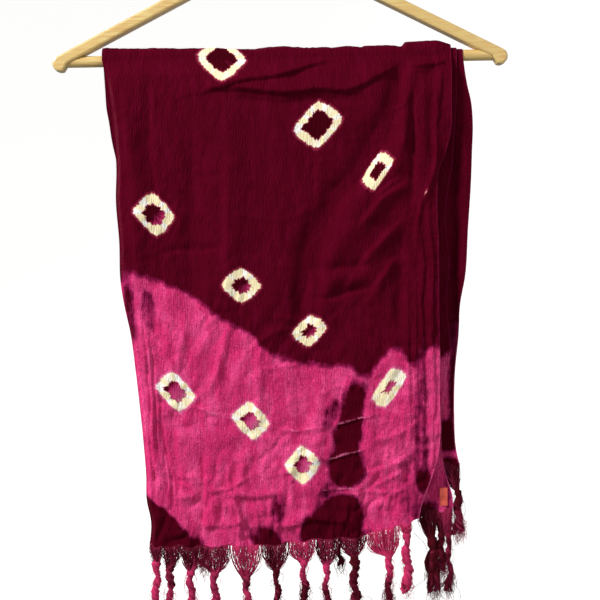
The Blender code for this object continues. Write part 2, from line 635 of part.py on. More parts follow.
def main():
    empty_scene()
    stole = new_collection("dupatta stole on hanger")
    cutters = new_collection("cutters")
    cutters.hide_render = True
    cloth = material("tie-dyed cloth", MAROON, 0.75)
    plain = material("woven label", ORANGE, 0.8)
    wood = material("varnished wood", PALE_WOOD, 0.4)
    steel = material("plated steel wire", STEEL, 0.25, 1.0)
    build_cloth(stole, cloth)
    build_trims(stole, cutters, cloth, plain)
    build_hanger(stole, cutters, wood, steel)


if __name__ == "__main__":
    main()
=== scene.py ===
"""A tie-dyed dupatta stole over the bar of a wooden clothes hanger: its cloth, fringes, label and hanger.

Metres, +Z up, +X along the bar, -Y towards whoever looks at the front. The origin is the hook's seat.
A place on the cloth is (x, drop), along the bar and down from its axis, or (x, run): run goes along the
cloth from the bar, down the front, and is negative over the bar and down the back. The tables of the cloth's
lines, folds, tassels, rings and blots give their lengths in millimetres.
"""

import math
from collections import namedtuple

import bpy
import numpy as np
from mathutils import Matrix, Vector


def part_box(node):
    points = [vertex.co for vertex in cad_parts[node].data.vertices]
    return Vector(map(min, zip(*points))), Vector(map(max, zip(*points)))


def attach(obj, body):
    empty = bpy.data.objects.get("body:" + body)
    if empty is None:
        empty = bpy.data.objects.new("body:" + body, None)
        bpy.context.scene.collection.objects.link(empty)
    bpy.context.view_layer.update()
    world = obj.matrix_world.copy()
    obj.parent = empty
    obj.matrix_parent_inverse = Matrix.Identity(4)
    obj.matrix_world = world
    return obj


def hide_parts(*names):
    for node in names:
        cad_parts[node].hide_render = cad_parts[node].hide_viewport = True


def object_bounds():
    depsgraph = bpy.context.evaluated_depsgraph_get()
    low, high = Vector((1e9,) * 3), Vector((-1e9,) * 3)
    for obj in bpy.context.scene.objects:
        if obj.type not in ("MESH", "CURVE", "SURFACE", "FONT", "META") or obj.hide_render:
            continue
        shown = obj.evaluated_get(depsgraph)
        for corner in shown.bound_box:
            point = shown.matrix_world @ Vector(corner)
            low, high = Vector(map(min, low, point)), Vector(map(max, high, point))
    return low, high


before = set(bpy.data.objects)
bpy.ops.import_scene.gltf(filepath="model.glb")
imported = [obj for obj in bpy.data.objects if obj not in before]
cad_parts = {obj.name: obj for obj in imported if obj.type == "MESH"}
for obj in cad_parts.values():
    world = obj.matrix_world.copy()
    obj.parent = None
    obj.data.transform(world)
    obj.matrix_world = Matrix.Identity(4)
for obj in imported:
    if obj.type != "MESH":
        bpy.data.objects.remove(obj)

cad_low, cad_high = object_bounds()

# ---------------------------------------------------------------- room, light and camera
# A pale sweep, a floor that curves up into a wall all round, stands well clear of the hanging stole. A broad
# soft lamp from the front and above left gives the folds their shade, and the even sky fills them.
FLOOR_BELOW = 0.45
SWEEP_RADIUS = 3.4
SWEEP_CORNER = 1.5
SWEEP_HEIGHT = 4.0
SWEEP_SIDES = 96
SWEEP_HEX = "#F5F5F4"
SWEEP_GLOW = 0.54  # the wall is lit by its own lamps as well
SKY_STRENGTH = 0.29
CAMERA_DISTANCE = 1.25
CAMERA_AIM = (0.0154, 0.0, -0.4423)
CAMERA_ROLL = math.radians(1.0)
SENSOR_WIDTH = 36.0
VIEW_HEIGHT = 0.5890  # what the frame takes in at the hanger's plane
LAMP_AIM = (0.0, 0.0, -0.42)


def linear(hex_colour):
    """An sRGB hex colour as linear RGBA: each channel through sRGB's own curve."""
    parts = np.array([int(hex_colour[k:k + 2], 16) for k in (1, 3, 5)]) / 255
    curved = np.where(parts <= 0.04045, parts / 12.92, ((parts + 0.055) / 1.055) ** 2.4)
    return (*curved, 1.0)


def new_material(name, roughness, **sockets):
    """A material with one Principled shader, whose even values are set on its own sockets."""
    made = bpy.data.materials.new(name)
    made.use_nodes = True
    shader = made.node_tree.nodes["Principled BSDF"]
    shader.inputs["Roughness"].default_value = roughness
    for socket, value in sockets.items():
        shader.inputs[socket.replace("_", " ").title().replace("Ior", "IOR")].default_value = value
    return made, shader


def add(material, kind, inputs=None, **settings):
    """Adds one shader node: settings are its own properties, and inputs gives its sockets values or links."""
    tree = material.node_tree
    node = tree.nodes.new(kind)
    for name, value in settings.items():
        setattr(node, name, value)
    for socket, value in (inputs or {}).items():
        if isinstance(value, bpy.types.NodeSocket):
            tree.links.new(value, node.inputs[socket])
        else:
            node.inputs[socket].default_value = value
    return node


def mesh_of(name, points, faces, material):
    """A smooth-shaded mesh object at the origin from points (n, 3) and a list of face arrays (m, corners)."""
    corners = np.concatenate([part.ravel() for part in faces])
    sizes = np.concatenate([np.full(len(part), part.shape[1]) for part in faces])
    mesh = bpy.data.meshes.new(name)
    mesh.vertices.add(len(points))
    mesh.vertices.foreach_set("co", np.asarray(points, np.float32).ravel())
    mesh.loops.add(len(corners))
    mesh.loops.foreach_set("vertex_index", corners.astype(np.int32))
    mesh.polygons.add(len(sizes))
    mesh.polygons.foreach_set("loop_start", (np.cumsum(sizes) - sizes).astype(np.int32))
    mesh.update(calc_edges=True)
    mesh.shade_smooth()
    mesh.materials.append(material)
    made = bpy.data.objects.new(name, mesh)
    bpy.context.scene.collection.objects.link(made)
    return made


def grid_quads(rows, columns, closed=False):
    """The quads of points laid out row after row. A closed grid joins its last column to its first."""
    i, j = np.meshgrid(np.arange(rows - 1), np.arange(columns if closed else columns - 1), indexing="ij")
    after = (j + 1) % columns
    return np.stack([i * columns + j, i * columns + after,
                     (i + 1) * columns + after, (i + 1) * columns + j], axis=-1).reshape(-1, 4)


def smooth_step(value):
    """0 below 0, 1 above 1 and an even S between."""
    value = np.clip(value, 0.0, 1.0)
    return value * value * (3.0 - 2.0 * value)


sweep_paint, sweep_shader = new_material("matt pale paint", 0.9)
sweep_shader.inputs["Base Color"].default_value = linear(SWEEP_HEX)
sweep_shader.inputs["Emission Color"].default_value = linear(SWEEP_HEX)
sweep_shader.inputs["Emission Strength"].default_value = SWEEP_GLOW
turn = np.linspace(0.0, 0.5 * math.pi, 24)
floor_out = [0.001, 0.8, 1.5]  # rings of points on the level floor
sweep_out = np.concatenate([floor_out, SWEEP_RADIUS - SWEEP_CORNER + SWEEP_CORNER * np.sin(turn),
                            [SWEEP_RADIUS]])
sweep_up = np.concatenate([np.zeros(len(floor_out)), SWEEP_CORNER * (1 - np.cos(turn)), [SWEEP_HEIGHT]])
sweep_angle = np.linspace(0.0, 2 * math.pi, SWEEP_SIDES + 1)[:-1]
sweep_points = np.stack([
    sweep_out[:, None] * np.cos(sweep_angle), sweep_out[:, None] * np.sin(sweep_angle),
    np.broadcast_to(cad_low.z - FLOOR_BELOW + sweep_up[:, None], (len(sweep_out), SWEEP_SIDES))], axis=-1)
sweep = mesh_of("sweep", sweep_points.reshape(-1, 3), [grid_quads(len(sweep_out), SWEEP_SIDES, True)],
                sweep_paint)
sweep.visible_shadow = False
sweep.visible_diffuse = False
sweep.visible_glossy = False

world = bpy.data.worlds.new("even sky")
bpy.context.scene.world = world
world.use_nodes = True
world.node_tree.nodes["Background"].inputs["Color"].default_value = linear("#FFFEFC")
world.node_tree.nodes["Background"].inputs["Strength"].default_value = SKY_STRENGTH
bpy.context.scene.view_settings.view_transform = "Standard"

Lamp = namedtuple("Lamp", "name place size watts")
LAMPS = (
    Lamp("key", (-1.80, -1.36, 1.08), 0.54, 83.0),
    Lamp("side", (1.6, -1.5, -0.1), 1.2, 10.0),
    Lamp("back", (-1.45, 1.15, 0.85), 0.60, 46.0),
)
for lamp in LAMPS:
    light = bpy.data.lights.new(lamp.name, "AREA")
    light.size = lamp.size
    light.energy = lamp.watts
    lamp_object = bpy.data.objects.new(lamp.name, light)
    bpy.context.scene.collection.objects.link(lamp_object)
    lamp_object.location = lamp.place
    aim = Vector(LAMP_AIM) - lamp_object.location
    lamp_object.rotation_euler = aim.to_track_quat("-Z", "Y").to_euler()

camera_data = bpy.data.cameras.new("camera")
camera_data.sensor_width = SENSOR_WIDTH
camera_data.lens = SENSOR_WIDTH * CAMERA_DISTANCE / VIEW_HEIGHT
camera_data.clip_start = 0.05
camera = bpy.data.objects.new("camera", camera_data)
bpy.context.scene.collection.objects.link(camera)
camera.matrix_world = (
    Matrix.Translation(Vector(CAMERA_AIM) - Vector((0.0, CAMERA_DISTANCE, 0.0)))
    @ Matrix.Rotation(math.pi / 2, 4, "X") @ Matrix.Rotation(-CAMERA_ROLL, 4, "Z"))
bpy.context.scene.camera = camera

# ---------------------------------------------------------------- the stole's form
# One length of thin crinkled cotton crepe, folded selvedge to selvedge and doubled over the bar. It is not
# sewn or pinned: friction and its weight hold it. Each ply is one sheet, from its fringed hem in front, over
# the bar, and down the back.
bar_low, bar_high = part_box("trouser_bar")
BAR_Z = (bar_low[2] + bar_high[2]) / 2
BAR_RADIUS = (bar_high[2] - bar_low[2]) / 2
PLY_WALL = 0.001
SETTLE_DROP = 0.045
BACK_DROP = 0.425
RETURN_RISE = 0.028
BACK_SETTLE = 0.050
# The crosswise fold turns with the radius that lets the outer ply climb just clear of the inner one.
TURN_RADIUS = 0.00515
SEAM_GAP = 0.0003  # between the outer ply's end, inside that fold, and the inner ply's end above it


def line(*points):
    """The points of a line as an array, from millimetres to metres."""
    return np.array(points) / 1000


def table(kind, lengths, *rows):
    """Rows as named tuples of one kind, whose first few numbers are lengths, from millimetres to metres."""
    return [kind(*(value / 1000 for value in row[:lengths]), *row[lengths:]) for row in rows]


# A ply's edges are (drop, x), and its hem is (x, drop).
OUTER_LEFT = line(
    (0, -173.7), (21, -169.3), (44, -165.7), (78, -162.4), (104, -160.9), (138, -161.9), (177, -159.4),
    (218, -158.6), (242, -155), (264, -150.4), (305, -145.4), (332, -142.7), (373, -139.2), (407, -137.1),
    (428, -137.1), (451, -133.1), (476, -135.2),
)
OUTER_RIGHT = line(
    (0, 167), (46, 165.6), (69, 165.2), (96, 159.1), (116, 151.5), (139, 149.9), (193, 150.5), (241, 149.7),
    (290, 149.8), (339, 148.9), (368, 148.9), (393, 145.6), (417, 137.4), (436, 130.2), (454, 126),
    (476, 125),
)
UNDER_LEFT = line(
    (0, -172.2), (104, -159), (218, -156.5), (305, -143), (407, -135), (460, -132.5),
)
UNDER_RIGHT = line(
    (0, 172.7), (46, 171), (83, 168.1), (106, 166.1), (137, 160.7), (152, 158.5), (207, 161.5),
    (241, 158.4), (285, 161.1), (324, 155.5), (363, 151), (393, 151.4), (412, 155.2), (428, 159.8),
    (460, 160.8),
)
INNER_LEFT = line(
    (0, -173), (32, -171), (48, -170), (60, -168), (80, -165.2), (97, -161.8), (120, -159), (240, -151),
    (331, -139), (402, -133),
)
INNER_RIGHT = line(
    (0, 178.6), (9, 179.5), (29, 182.1), (47, 185.7), (69, 187), (95, 185.8), (125, 184.3), (169, 180.7),
    (217, 176.9), (242, 172.1), (272, 169.8), (312, 165.5), (351, 163.9), (389, 165.6), (402, 168.5),
)
BACK_LEFT = line(
    (0, -171), (60, -165), (140, -158.5), (240, -151), (330, -139), (400, -133), (460, -131),
)
BACK_RIGHT = line(
    (0, 170), (60, 174), (140, 171), (240, 164), (330, 159), (400, 157), (460, 156),
)
OUTER_HEM = line(
    (-140, 473.6), (-60, 475), (0, 473), (20, 470), (60, 469.5), (75, 467), (95, 460), (130, 453.5),
)
UNDER_HEM = line((-140, 450), (0, 448), (160, 443))
INNER_HEM = line((-140, 402), (170, 400))

# Folds and creases: each stands out (or sinks, with a negative height) along a line from (x0, d0) to
# (x1, d1) that bows sideways by `bow`. It falls away over `near` on its upper or right-hand side, and over
# `far` on the other. A lip, whose far side is steep, is cloth that hangs over the cloth below it.
Fold = namedtuple("Fold", "x0 d0 x1 d1 bow near far height name")
FRONT_FOLDS = table(
    Fold, 8,
    (-96, 37, 150, -24, -5, 11, 1.4, 4.4, "upper lip of the swag"),
    (-72, 30, 80, 35, -3, 12, 1.7, 5, "lower lip of the swag"),
    (50, 38, 121, 6, -3.5, 9, 1.6, 3.6, "lip running up right"),
    (-50, 41, 84, 43, -3, 3, 6, -2.2, "undercut below the swag"),
    (130, -10, 94, 92, 1, 8, 11, -8.4, "trough from the bar"),
    (100, 66, 56, 142, 3, 10, 13, -7.6, "trough sweeping down left"),
    (66, 112, 26, 208, -4, 10, 13, -6.4, "end of that trough"),
    (124, 4, 114, 90, 2, 11, 3.4, 7, "edge of the tuck"),
    (130, 26, 123.5, 150, 1, 3, 4, -3.2, "hollow in the tuck"),
    (140, 12, 136, 110, 2, 5, 6, 3, "tuck beside the selvedge"),
    (119, 6, 167, 4, -6.6, 6, 1.4, 4, "sag across the tuck"),
    (128, 18, 160, 16, -3, 4, 12, -3, "shade below that sag"),
    (108, 52, 122, 48, -2, 4, 1.4, 3, "crease below the tuck"),
    (121, 70, 104, 120, 2, 8, 5, 4.2, "roll below the tuck"),
    (155, 70, 137, 142, 2, 5, 2.2, 3.4, "pull above the pucker"),
    (137, 134, 128, 190, -1, 4, 2, 2.2, "pull below the pucker"),
    (121, 127, 74, 166, -5, 9, 2.4, 6.2, "pull into the middle"),
    (112, 122, 86, 146, -3, 5, 1.8, 3.2, "pull above that"),
    (117, 160, 74, 210, -4, 9, 2.6, 5.6, "long pull into the middle"),
    (112, 196, 84, 238, -2, 7, 2.6, 4, "low pull into the middle"),
    (112, 170, 108, 270, 2, 6, 6, -3.6, "hollow beside the pleats"),
    (76, 118, 58, 190, 2, 14, 11, 3.6, "swell below the third ring"),
    (37, 88, 33, 150, 1, 6, 4, 2, "crease under the second ring"),
    (26, 160, 14, 285, -3, 9, 8, -6.2, "middle trough"),
    (44, 180, 34, 270, 2, 9, 6, 4, "ridge right of the middle"),
    (-50, 50, -58, 240, 3, 13, 7, 4.2, "ridge left of the middle"),
    (-86, 60, -92, 270, 2, 12, 10, -4.4, "trough left of that"),
    (-130, 12, -126, 140, 1, 2.6, 6, -2, "crease down the left"),
    (-150, 30, -142, 230, 2, 10, 7, 4.4, "left roll"),
    (22, 206, 86, 206, -1, 8, 2.4, -4, "level crease, right of the middle"),
    (36, 218, 94, 216, -1, 7, 8, 3, "swell below that crease"),
    (30, 234, 90, 230, -1, 5, 1.8, -2.6, "lower level crease"),
    (-120, 190, -60, 186, 1, 5, 2, -2, "level crease, left of the middle"),
    (-141, 240, -126, 440, 3, 8, 5, 3.2, "left roll, lower"),
    (-140, 236, -126.5, 440, 1.2, 1.4, 1.8, -2.6, "left gather"),
    (-132, 262, -120.5, 400, -1.2, 1.5, 1.6, -2.4, "second left gather"),
    (-124, 310, -117, 430, 1, 1.6, 2, -1.8, "third left gather"),
    (-118, 350, -109.5, 440, -0.6, 1.4, 1.8, -2.4, "fourth left gather"),
    (-108, 350, -104, 460, -1, 2.4, 6, -2.6, "lower left gather"),
    (-52, 255, -74, 330, 2, 5, 4.6, 3.6, "streak down left"),
    (-22, 278, -28, 350, 1, 4.4, 4.4, 3, "streak beside it"),
    (-94, 240, -104, 300, 1, 4, 5, 2.4, "streak below the dye's edge"),
    (-82, 380, -85, 470, 2, 1.8, 6, -4, "crease to the hem"),
    (-37, 374, -52, 440, 1, 7, 3.6, 3, "streak below the middle ring"),
    (-66, 420, 0, 424, -4, 5, 2.4, 2.6, "hem ripple left"),
    (-90, 450, -30, 446, -3, 4, 2.2, 2, "second hem ripple left"),
    (-20, 452, 20, 448, -2, 5, 1.8, 2.6, "hem ripple in the middle"),
    (-94, 335, -50, 350, -1, 1, 3, 1.8, "pull through the lower rings"),
    (-16, 360, 34, 358, -1, 1, 3, 1.8, "pull past the middle ring"),
    (-22, 405, 12, 402, -1, 1, 3, 1.6, "pull to the lowest ring"),
    (6, 446, 64, 451, -2, 6, 2, 2.8, "hem ripple right"),
    (92, 349, 36, 358, 1.4, 1, 2.6, 2.2, "pull across the tall stain"),
    (82, 384, 30, 390, 1.5, 1, 2.6, 2.2, "lower pull across the tall stain"),
    (78, 423, 30, 426, -2, 1, 3, 2, "pull between the stains"),
    (134, 350, 80, 376, 2, 5, 2, 2.2, "pull across low right"),
    (128, 380, 66, 410, 3, 5, 2, 2.6, "pull across lower right"),
    (112, 402, 82, 420, 1, 4, 1.4, 2, "short pull between"),
    (126, 412, 80, 440, 2, 5, 2.2, 2.2, "pull at the corner"),
    (30, 300, 22, 450, 2, 11, 8, 3.6, "roll towards the hem"),
    (83, 320, 80, 410, 1, 4, 7, 2.6, "roll beside the tall stain"),
    (119, 225, 118, 405, 1, 1.4, 5, 1.8, "first edge pleat"),
    (127, 215, 125, 390, 1, 1.4, 4.5, 2, "second edge pleat"),
    (135, 150, 133, 410, -1, 1.4, 4.5, 2.2, "third edge pleat"),
    (143, 130, 141, 405, 1, 1.4, 4, 2.4, "fourth edge pleat"),
    (160, 4, 150, 118, -2, 1.2, 5, 2.4, "folded selvedge, upper"),
)
BACK_FOLDS = table(
    Fold, 8,
    (-80, 34, 40, 26, -5, 11, 2, 7.3, "swag behind the bar"),
    (-70, 50, 40, 44, -4, 6, 6, -5.6, "shade below that swag"),
    (150, 40, 142, 400, 3, 11, 8, 5.6, "roll at the right hand"),
    (105, 60, 98, 330, 4, 14, 11, -6.2, "long trough, right"),
    (60, 30, 30, 240, 4, 11, 4, 7, "pull down from the bar"),
    (-5, 90, 2, 300, -3, 11, 10, -6.2, "middle trough"),
    (-60, 60, -68, 380, 4, 13, 5, 6.7, "long ridge, left"),
    (-100, 80, -96, 360, 2, 11, 9, -5.3, "left trough"),
    (-150, 40, -124, 410, 3, 11, 6, 5.6, "left roll"),
    (90, 300, 20, 400, 4, 7, 2, 5.3, "low pull"),
    (-30, 330, -90, 400, -2, 6, 2, 4.2, "second low pull"),
    (-40, 180, 50, 196, -3, 6, 1.4, 3.4, "crease across"),
    (60, 246, 130, 238, -2, 5, 1.4, 2.8, "second crease across"),
    (128, 120, 120, 360, 1, 1.6, 5, 3.4, "crease beside the selvedge"),
)
INNER_FOLDS = table(
    Fold, 8,
    (166, 60, 158, 330, 3, 8, 6, -6, "hollow beside the under ply"),
    (178, 50, 168, 300, 4, 6, 5, 1.8, "roll at the selvedge"),
)
UNDER_FOLDS = table(
    Fold, 8,
    (168, 30, 168, 300, 2, 5, 4, 1, "long roll"),
    (150, 120, 146, 380, 2, 3, 4, 0.9, "selvedge wave"),
)
# left, right: the hem that a tassel gathers; neck: where it is knotted, below the hem; bag: 1 for a straight
# gather, more for one that hangs full before it draws in; the dyes: how pink it is at hem, neck and end;
# turns: how often its yarns are wound round each other.
Tassel = namedtuple(
    "Tassel", "left right stem neck length strands thickness bag hem_dye neck_dye end_dye turns",
    defaults=(3.2,))
OUTER_TASSELS = table(
    Tassel, 5,
    (-134.5, -121.5, -127.8, 15, 70, 12, 1.5, 1.8, 0.05, 0.95, 0.85),
    (-121, -104.5, -114.8, 21, 74, 12, 1.5, 2.6, 0.05, 0.25, 0.75),
    (-104, -83.5, -94.6, 24, 68, 14, 1.7, 2.2, 0.05, 0.8, 0.75),
    (-83, -56.5, -71.6, 25, 72, 14, 1.7, 3.4, 0.2, 0.65, 0.8),
    (-56, -26, -40.6, 30, 67, 14, 1.5, 2.6, 0.65, 0.45, 0.8),
    (-25.5, 0.5, -11.9, 24, 71, 12, 1.45, 2.8, 0.1, 0.15, 0.2),
    (1, 25, 14.7, 20, 65, 12, 1.45, 3.4, 0.6, 0.85, 0.05),
    (25.5, 49, 36.2, 26, 69, 12, 1.45, 2.2, 0.15, 0.95, 0.15),
    (49.5, 75, 63.5, 18, 62, 12, 1.65, 2.4, 0.1, 0.1, 0.15),
    (75.5, 107, 96.5, 27, 77, 20, 1.3, 3.6, 0.9, 0.95, 0.1),
    (108, 119, 114.3, 10, 64, 12, 1.6, 1.4, 0.8, 0.85, 0.95),
)
UNDER_TASSELS = table(
    Tassel, 5,
    (-95, -78, -83, 20, 46, 8, 1, 1.2, 0.6, 0.9, 0.95),
    (42, 56, 50, 18, 52, 8, 0.9, 1.2, 0.05, 0.1, 0.1),
    (125, 145, 140.2, 30, 78, 30, 1.95, 1.9, 0, 0.02, 0.06, 0.4),
    (143, 153, 149, 26, 61, 16, 1.45, 1.5, 0.02, 0.05, 0.08, 0.8),
    (147.5, 160.2, 156.3, 32, 80, 16, 1.2, 1.2, 0.4, 0.2, 0.08, 1.2),
)
INNER_TASSELS = table(
    Tassel, 5,
    (148, 168, 166.2, 28, 66, 24, 1.45, 1.5, 0.02, 0.05, 0.4, 1.8),
)
# lift: from the bar to the ply's inner face; part: how much further out it hangs; sway: its own slack; inset:
# how far its edges stand in from the outer ply's, behind; share: how much of the crepe's unevenness it shows.
Ply = namedtuple("Ply", "name lift part sway inset share seed left right hem folds back_folds tassels")
INNER = Ply("inner", 0.00035, 0.0000, 0.0015, 0.0050, 0.35, 37,
            INNER_LEFT, INNER_RIGHT, INNER_HEM, INNER_FOLDS, INNER_FOLDS, INNER_TASSELS)
UNDER = Ply("under", 0.00170, 0.0020, 0.0012, 0.0025, 0.60, 23,
            UNDER_LEFT, UNDER_RIGHT, UNDER_HEM, UNDER_FOLDS, UNDER_FOLDS, UNDER_TASSELS)
OUTER = Ply("outer", 0.00305, 0.0034, 0.0, 0.0, 1.00, 11,
            OUTER_LEFT, OUTER_RIGHT, OUTER_HEM, FRONT_FOLDS, BACK_FOLDS, OUTER_TASSELS)

# The tied rings, at (x, run). right and up are a ring's half diagonals, to its outer corners; heart is how
# pink it is inside, and open is less than 1 where the band nearly closes over it. The thread has left the
# cloth puckered: a low bell over the ring, and rays about its rim.
Ring = namedtuple("Ring", "x run right_x right_run up_x up_run heart open", defaults=(1.0,))
RINGS = table(
    Ring, 6,
    (-57.1, 1.2, 23.8, 2.2, -0.6, -23.4, 0.1),
    (35.6, 68, 23.7, -4.8, 1.1, -22.9, 0),
    (92.5, 113.7, 15, -8.6, 3.3, -18.5, 0.1),
    (-124, 152.3, 19.5, 2.4, -2, -20.9, 0.25),
    (-41, 222.3, 19.1, 0.7, -0.4, -17.1, 0.3),
    (24, 267.3, 16.9, -2.8, 1.3, -15.4, 0.35),
    (-106.2, 323.6, 18.6, 4.4, -2.8, -19.4, 0.85),
    (-34, 352.9, 18.1, 2.6, -1.5, -17.9, 0.9),
    (15.2, 396.3, 17.2, -0.5, -0.2, -18.4, 0.85),
    (99.8, 323.1, 16.6, -9.6, 3.4, -19, 0.95, 0.55),
    (138.2, 135.9, 0.7, -0.3, 0.8, -1.9, 0),
    (105, -82, 20.5, 3, -1, -21.5, 0.05),
    (18, -128, 21.5, -4, 1.6, -22, 0.1),
    (-76, -101, 19, 1.5, -1.2, -20.5, 0),
    (-118, -204, 20, -3.2, 2, -19, 0.2),
    (-24, -233, 18.5, 2.4, -1, -19.5, 0.3),
    (70, -212, 18, 5.2, -2.4, -20, 0.15),
    (119, -307, 17.5, -3, 1.4, -18.5, 0.85),
    (26, -337, 18.8, 1, -0.4, -19, 0.9),
    (-56, -366, 18, -4.2, 2.2, -18, 0.85),
    (-101, -433, 17.2, 2, -1.2, -17.6, 0.9),
    (72, -418, 17.8, -1.6, 1, -18.2, 0.9),
)
RING_ROUNDNESS = 1.25  # 1 is a straight-sided diamond, 2 a circle
RING_BAND = 0.0068
LEAST_PUCKER = 0.008  # the smallest ring still puckers the cloth this far round it
PUCKER_HEIGHT = 0.0011
PUCKER_RAYS = 9
RAY_SHARE = 0.14
FOLD_REST = 0.0065  # the even slack that the outer ply's folds rise from and its troughs sink into
FOLD_FLOOR = 0.0004  # the least slack, where a trough would reach the ply below
FLOOR_EASE = 0.0015  # how softly a trough levels out there
FOLD_TAPER = 0.38  # a fold fades over about this share of its length at each end
FOLD_WAVER = 0.0032  # how far a fold's line is shifted by noise with waves of about 35 mm
FOLD_SHAKE = 0.0009  # and by noise with waves of about 10 mm
SWAY_ACROSS = 0.085  # lengths of the wave that the inner plies sway in
SWAY_DOWN = 0.31
EDGE_CROWDING = 0.3  # a ply's columns stand this share closer at its edges, and further apart in its middle
HEM_SAG = 0.0045  # how far a tassel pulls the hem down
HEM_RISE = 0.0040  # how much higher the hem is between tassels than its line
LEAN_IN = 0.0015

# Heights of the crepe's unevenness, from the finest to the broadest.
GRAIN_HEIGHT = 0.00042
ROLL_HEIGHT = 0.0011
CREASE_HEIGHT = (0.0014, 0.0012)  # upright, level
FACET_HEIGHT = (0.0019, 0.0010)
SWELL_HEIGHT = 0.0018
CREASE_WIDTH = (0.22, 0.20)  # as shares of the noise's height
WARP = 0.012  # how far the rolls, creases and facets are shifted from an even lattice

# Over the tuck the outer ply slouches above the bar, from a crisp edge at one side. It stands up a little
# towards its fold as well.
SLOUCH_REST = 0.0006
SLOUCH = 0.0040
SLOUCH_FROM = 0.1185
SLOUCH_TO = 0.152
FOLD_SIDE = -0.170
FOLD_SIDE_RISE = 0.0028


def through(rows, at):
    """A smooth curve through the rows' two columns, by cubic pieces, read at the given places."""
    xs, ys = np.array(rows).T
    slopes = np.gradient(ys, xs)
    at = np.clip(at, xs[0], xs[-1])
    k = np.clip(np.searchsorted(xs, at, side="right") - 1, 0, len(xs) - 2)
    span = xs[k + 1] - xs[k]
    t = (at - xs[k]) / span
    rise = (2 * t**3 - 3 * t**2 + 1) * ys[k] + (3 * t**2 - 2 * t**3) * ys[k + 1]
    lean = (t**3 - 2 * t**2 + t) * span * slopes[k] + (t**3 - t**2) * span * slopes[k + 1]
    return rise + lean


def uneven(x, y, seed, wide=1.0, long=1.0):
    """Smooth noise from -1 to 1: random values on a lattice of wide by long, eased between neighbours."""
    x, y = x / wide, y / long
    lattice = np.random.default_rng(seed).uniform(-1, 1, (97, 97))
    i, j = np.floor(x).astype(int), np.floor(y).astype(int)
    a, b = smooth_step(x - i), smooth_step(y - j)
    low = lattice[i % 97, j % 97] * (1 - a) + lattice[(i + 1) % 97, j % 97] * a
    high = lattice[i % 97, (j + 1) % 97] * (1 - a) + lattice[(i + 1) % 97, (j + 1) % 97] * a
    return low * (1 - b) + high * b


def folded(folds, x, drop):
    """The folds' height: for each, a bell across its bowed line, wider on one side, that fades at both ends.

    Smooth noise shifts the place first, so that no line runs quite true.
    """
    x, drop = (
        x + FOLD_WAVER * uneven(x, drop, 71, 0.034, 0.041)
        + FOLD_SHAKE * uneven(x, drop, 72, 0.009, 0.012),
        drop + FOLD_WAVER * uneven(x, drop, 73, 0.037, 0.033)
        + FOLD_SHAKE * uneven(x, drop, 74, 0.011, 0.010))
    height = np.zeros(np.broadcast(x, drop).shape)
    for fold in folds:
        run = np.array([fold.x1 - fold.x0, fold.d1 - fold.d0])
        length = math.hypot(*run)
        along = ((x - fold.x0) * run[0] + (drop - fold.d0) * run[1]) / length**2
        across = ((x - fold.x0) * run[1] - (drop - fold.d0) * run[0]) / length
        across = across - fold.bow * 4 * along * (1 - along)
        width = np.where(across > 0, fold.near, fold.far)
        inside = np.clip(np.minimum(along, 1 - along) / FOLD_TAPER + 0.25, 0.0, 1.0)
        height += fold.height * smooth_step(inside) * np.exp(-((across / width) ** 2))
    return height


def puckers(x, run):
    """The tied rings' relief: a low bell over each, and rays that fade away on both sides of its rim."""
    height = np.zeros(np.broadcast(x, run).shape)
    for ring in RINGS:
        dx, dr = x - ring.x, run - ring.run
        half_diagonals = math.hypot(ring.right_x, ring.right_run) + math.hypot(ring.up_x, ring.up_run)
        away = np.hypot(dx, dr) / max(LEAST_PUCKER, 0.5 * half_diagonals)
        angle = np.arctan2(dr, dx)
        rays = np.cos(PUCKER_RAYS * angle + 90 * ring.x + 1.5 * np.sin(2 * angle + 50 * ring.run))
        bell, rim = np.exp(-((away / 0.8) ** 2)), np.exp(-(((away - 0.9) / 0.5) ** 2))
        height += PUCKER_HEIGHT * (bell + RAY_SHARE * rays * rim)
    return height


def crinkle(x, drop, seed):
    """The crepe's own unevenness: puckers, rolls, a net of sharp little creases, facets and broad swells.

    A crease runs where smooth noise passes through 0: it is 1 - |noise| / width there, and 0 elsewhere.
    Facets are |noise|: rounded between sharp valleys. All but the swells grow stronger towards the hem.
    """
    fine = uneven(x, drop, seed, 0.0036, 0.0090) * GRAIN_HEIGHT
    warp_x = x + WARP * uneven(x, drop, seed + 1, 0.040, 0.050)
    warp_drop = drop + WARP * uneven(x, drop, seed + 4, 0.035, 0.045)
    rolls = uneven(warp_x, warp_drop, seed + 2, 0.011, 0.040) * ROLL_HEIGHT
    upright = np.clip(1 - np.abs(uneven(warp_x, warp_drop, seed + 5, 0.022, 0.060)) / CREASE_WIDTH[0], 0, 1)
    level = np.clip(1 - np.abs(uneven(warp_x, warp_drop, seed + 6, 0.050, 0.024)) / CREASE_WIDTH[1], 0, 1)
    broken = smooth_step(0.5 + 1.4 * uneven(x, drop, seed + 8, 0.030, 0.030))
    creases = (CREASE_HEIGHT[0] * upright + CREASE_HEIGHT[1] * level) * broken
    tilted = warp_x + 0.35 * warp_drop
    facets = FACET_HEIGHT[0] * np.abs(uneven(tilted, warp_drop, seed + 9, 0.013, 0.017))
    facets = facets + FACET_HEIGHT[1] * np.abs(uneven(warp_x, warp_drop, seed + 10, 0.0065, 0.011))
    crumpled = 0.34 + 0.62 * smooth_step((drop - 0.18) / 0.11) + 0.70 * smooth_step((drop - 0.36) / 0.08)
    swells = uneven(x, drop, seed + 3, 0.034, 0.075) * SWELL_HEIGHT
    return (fine + rolls + creases + facets) * crumpled + swells


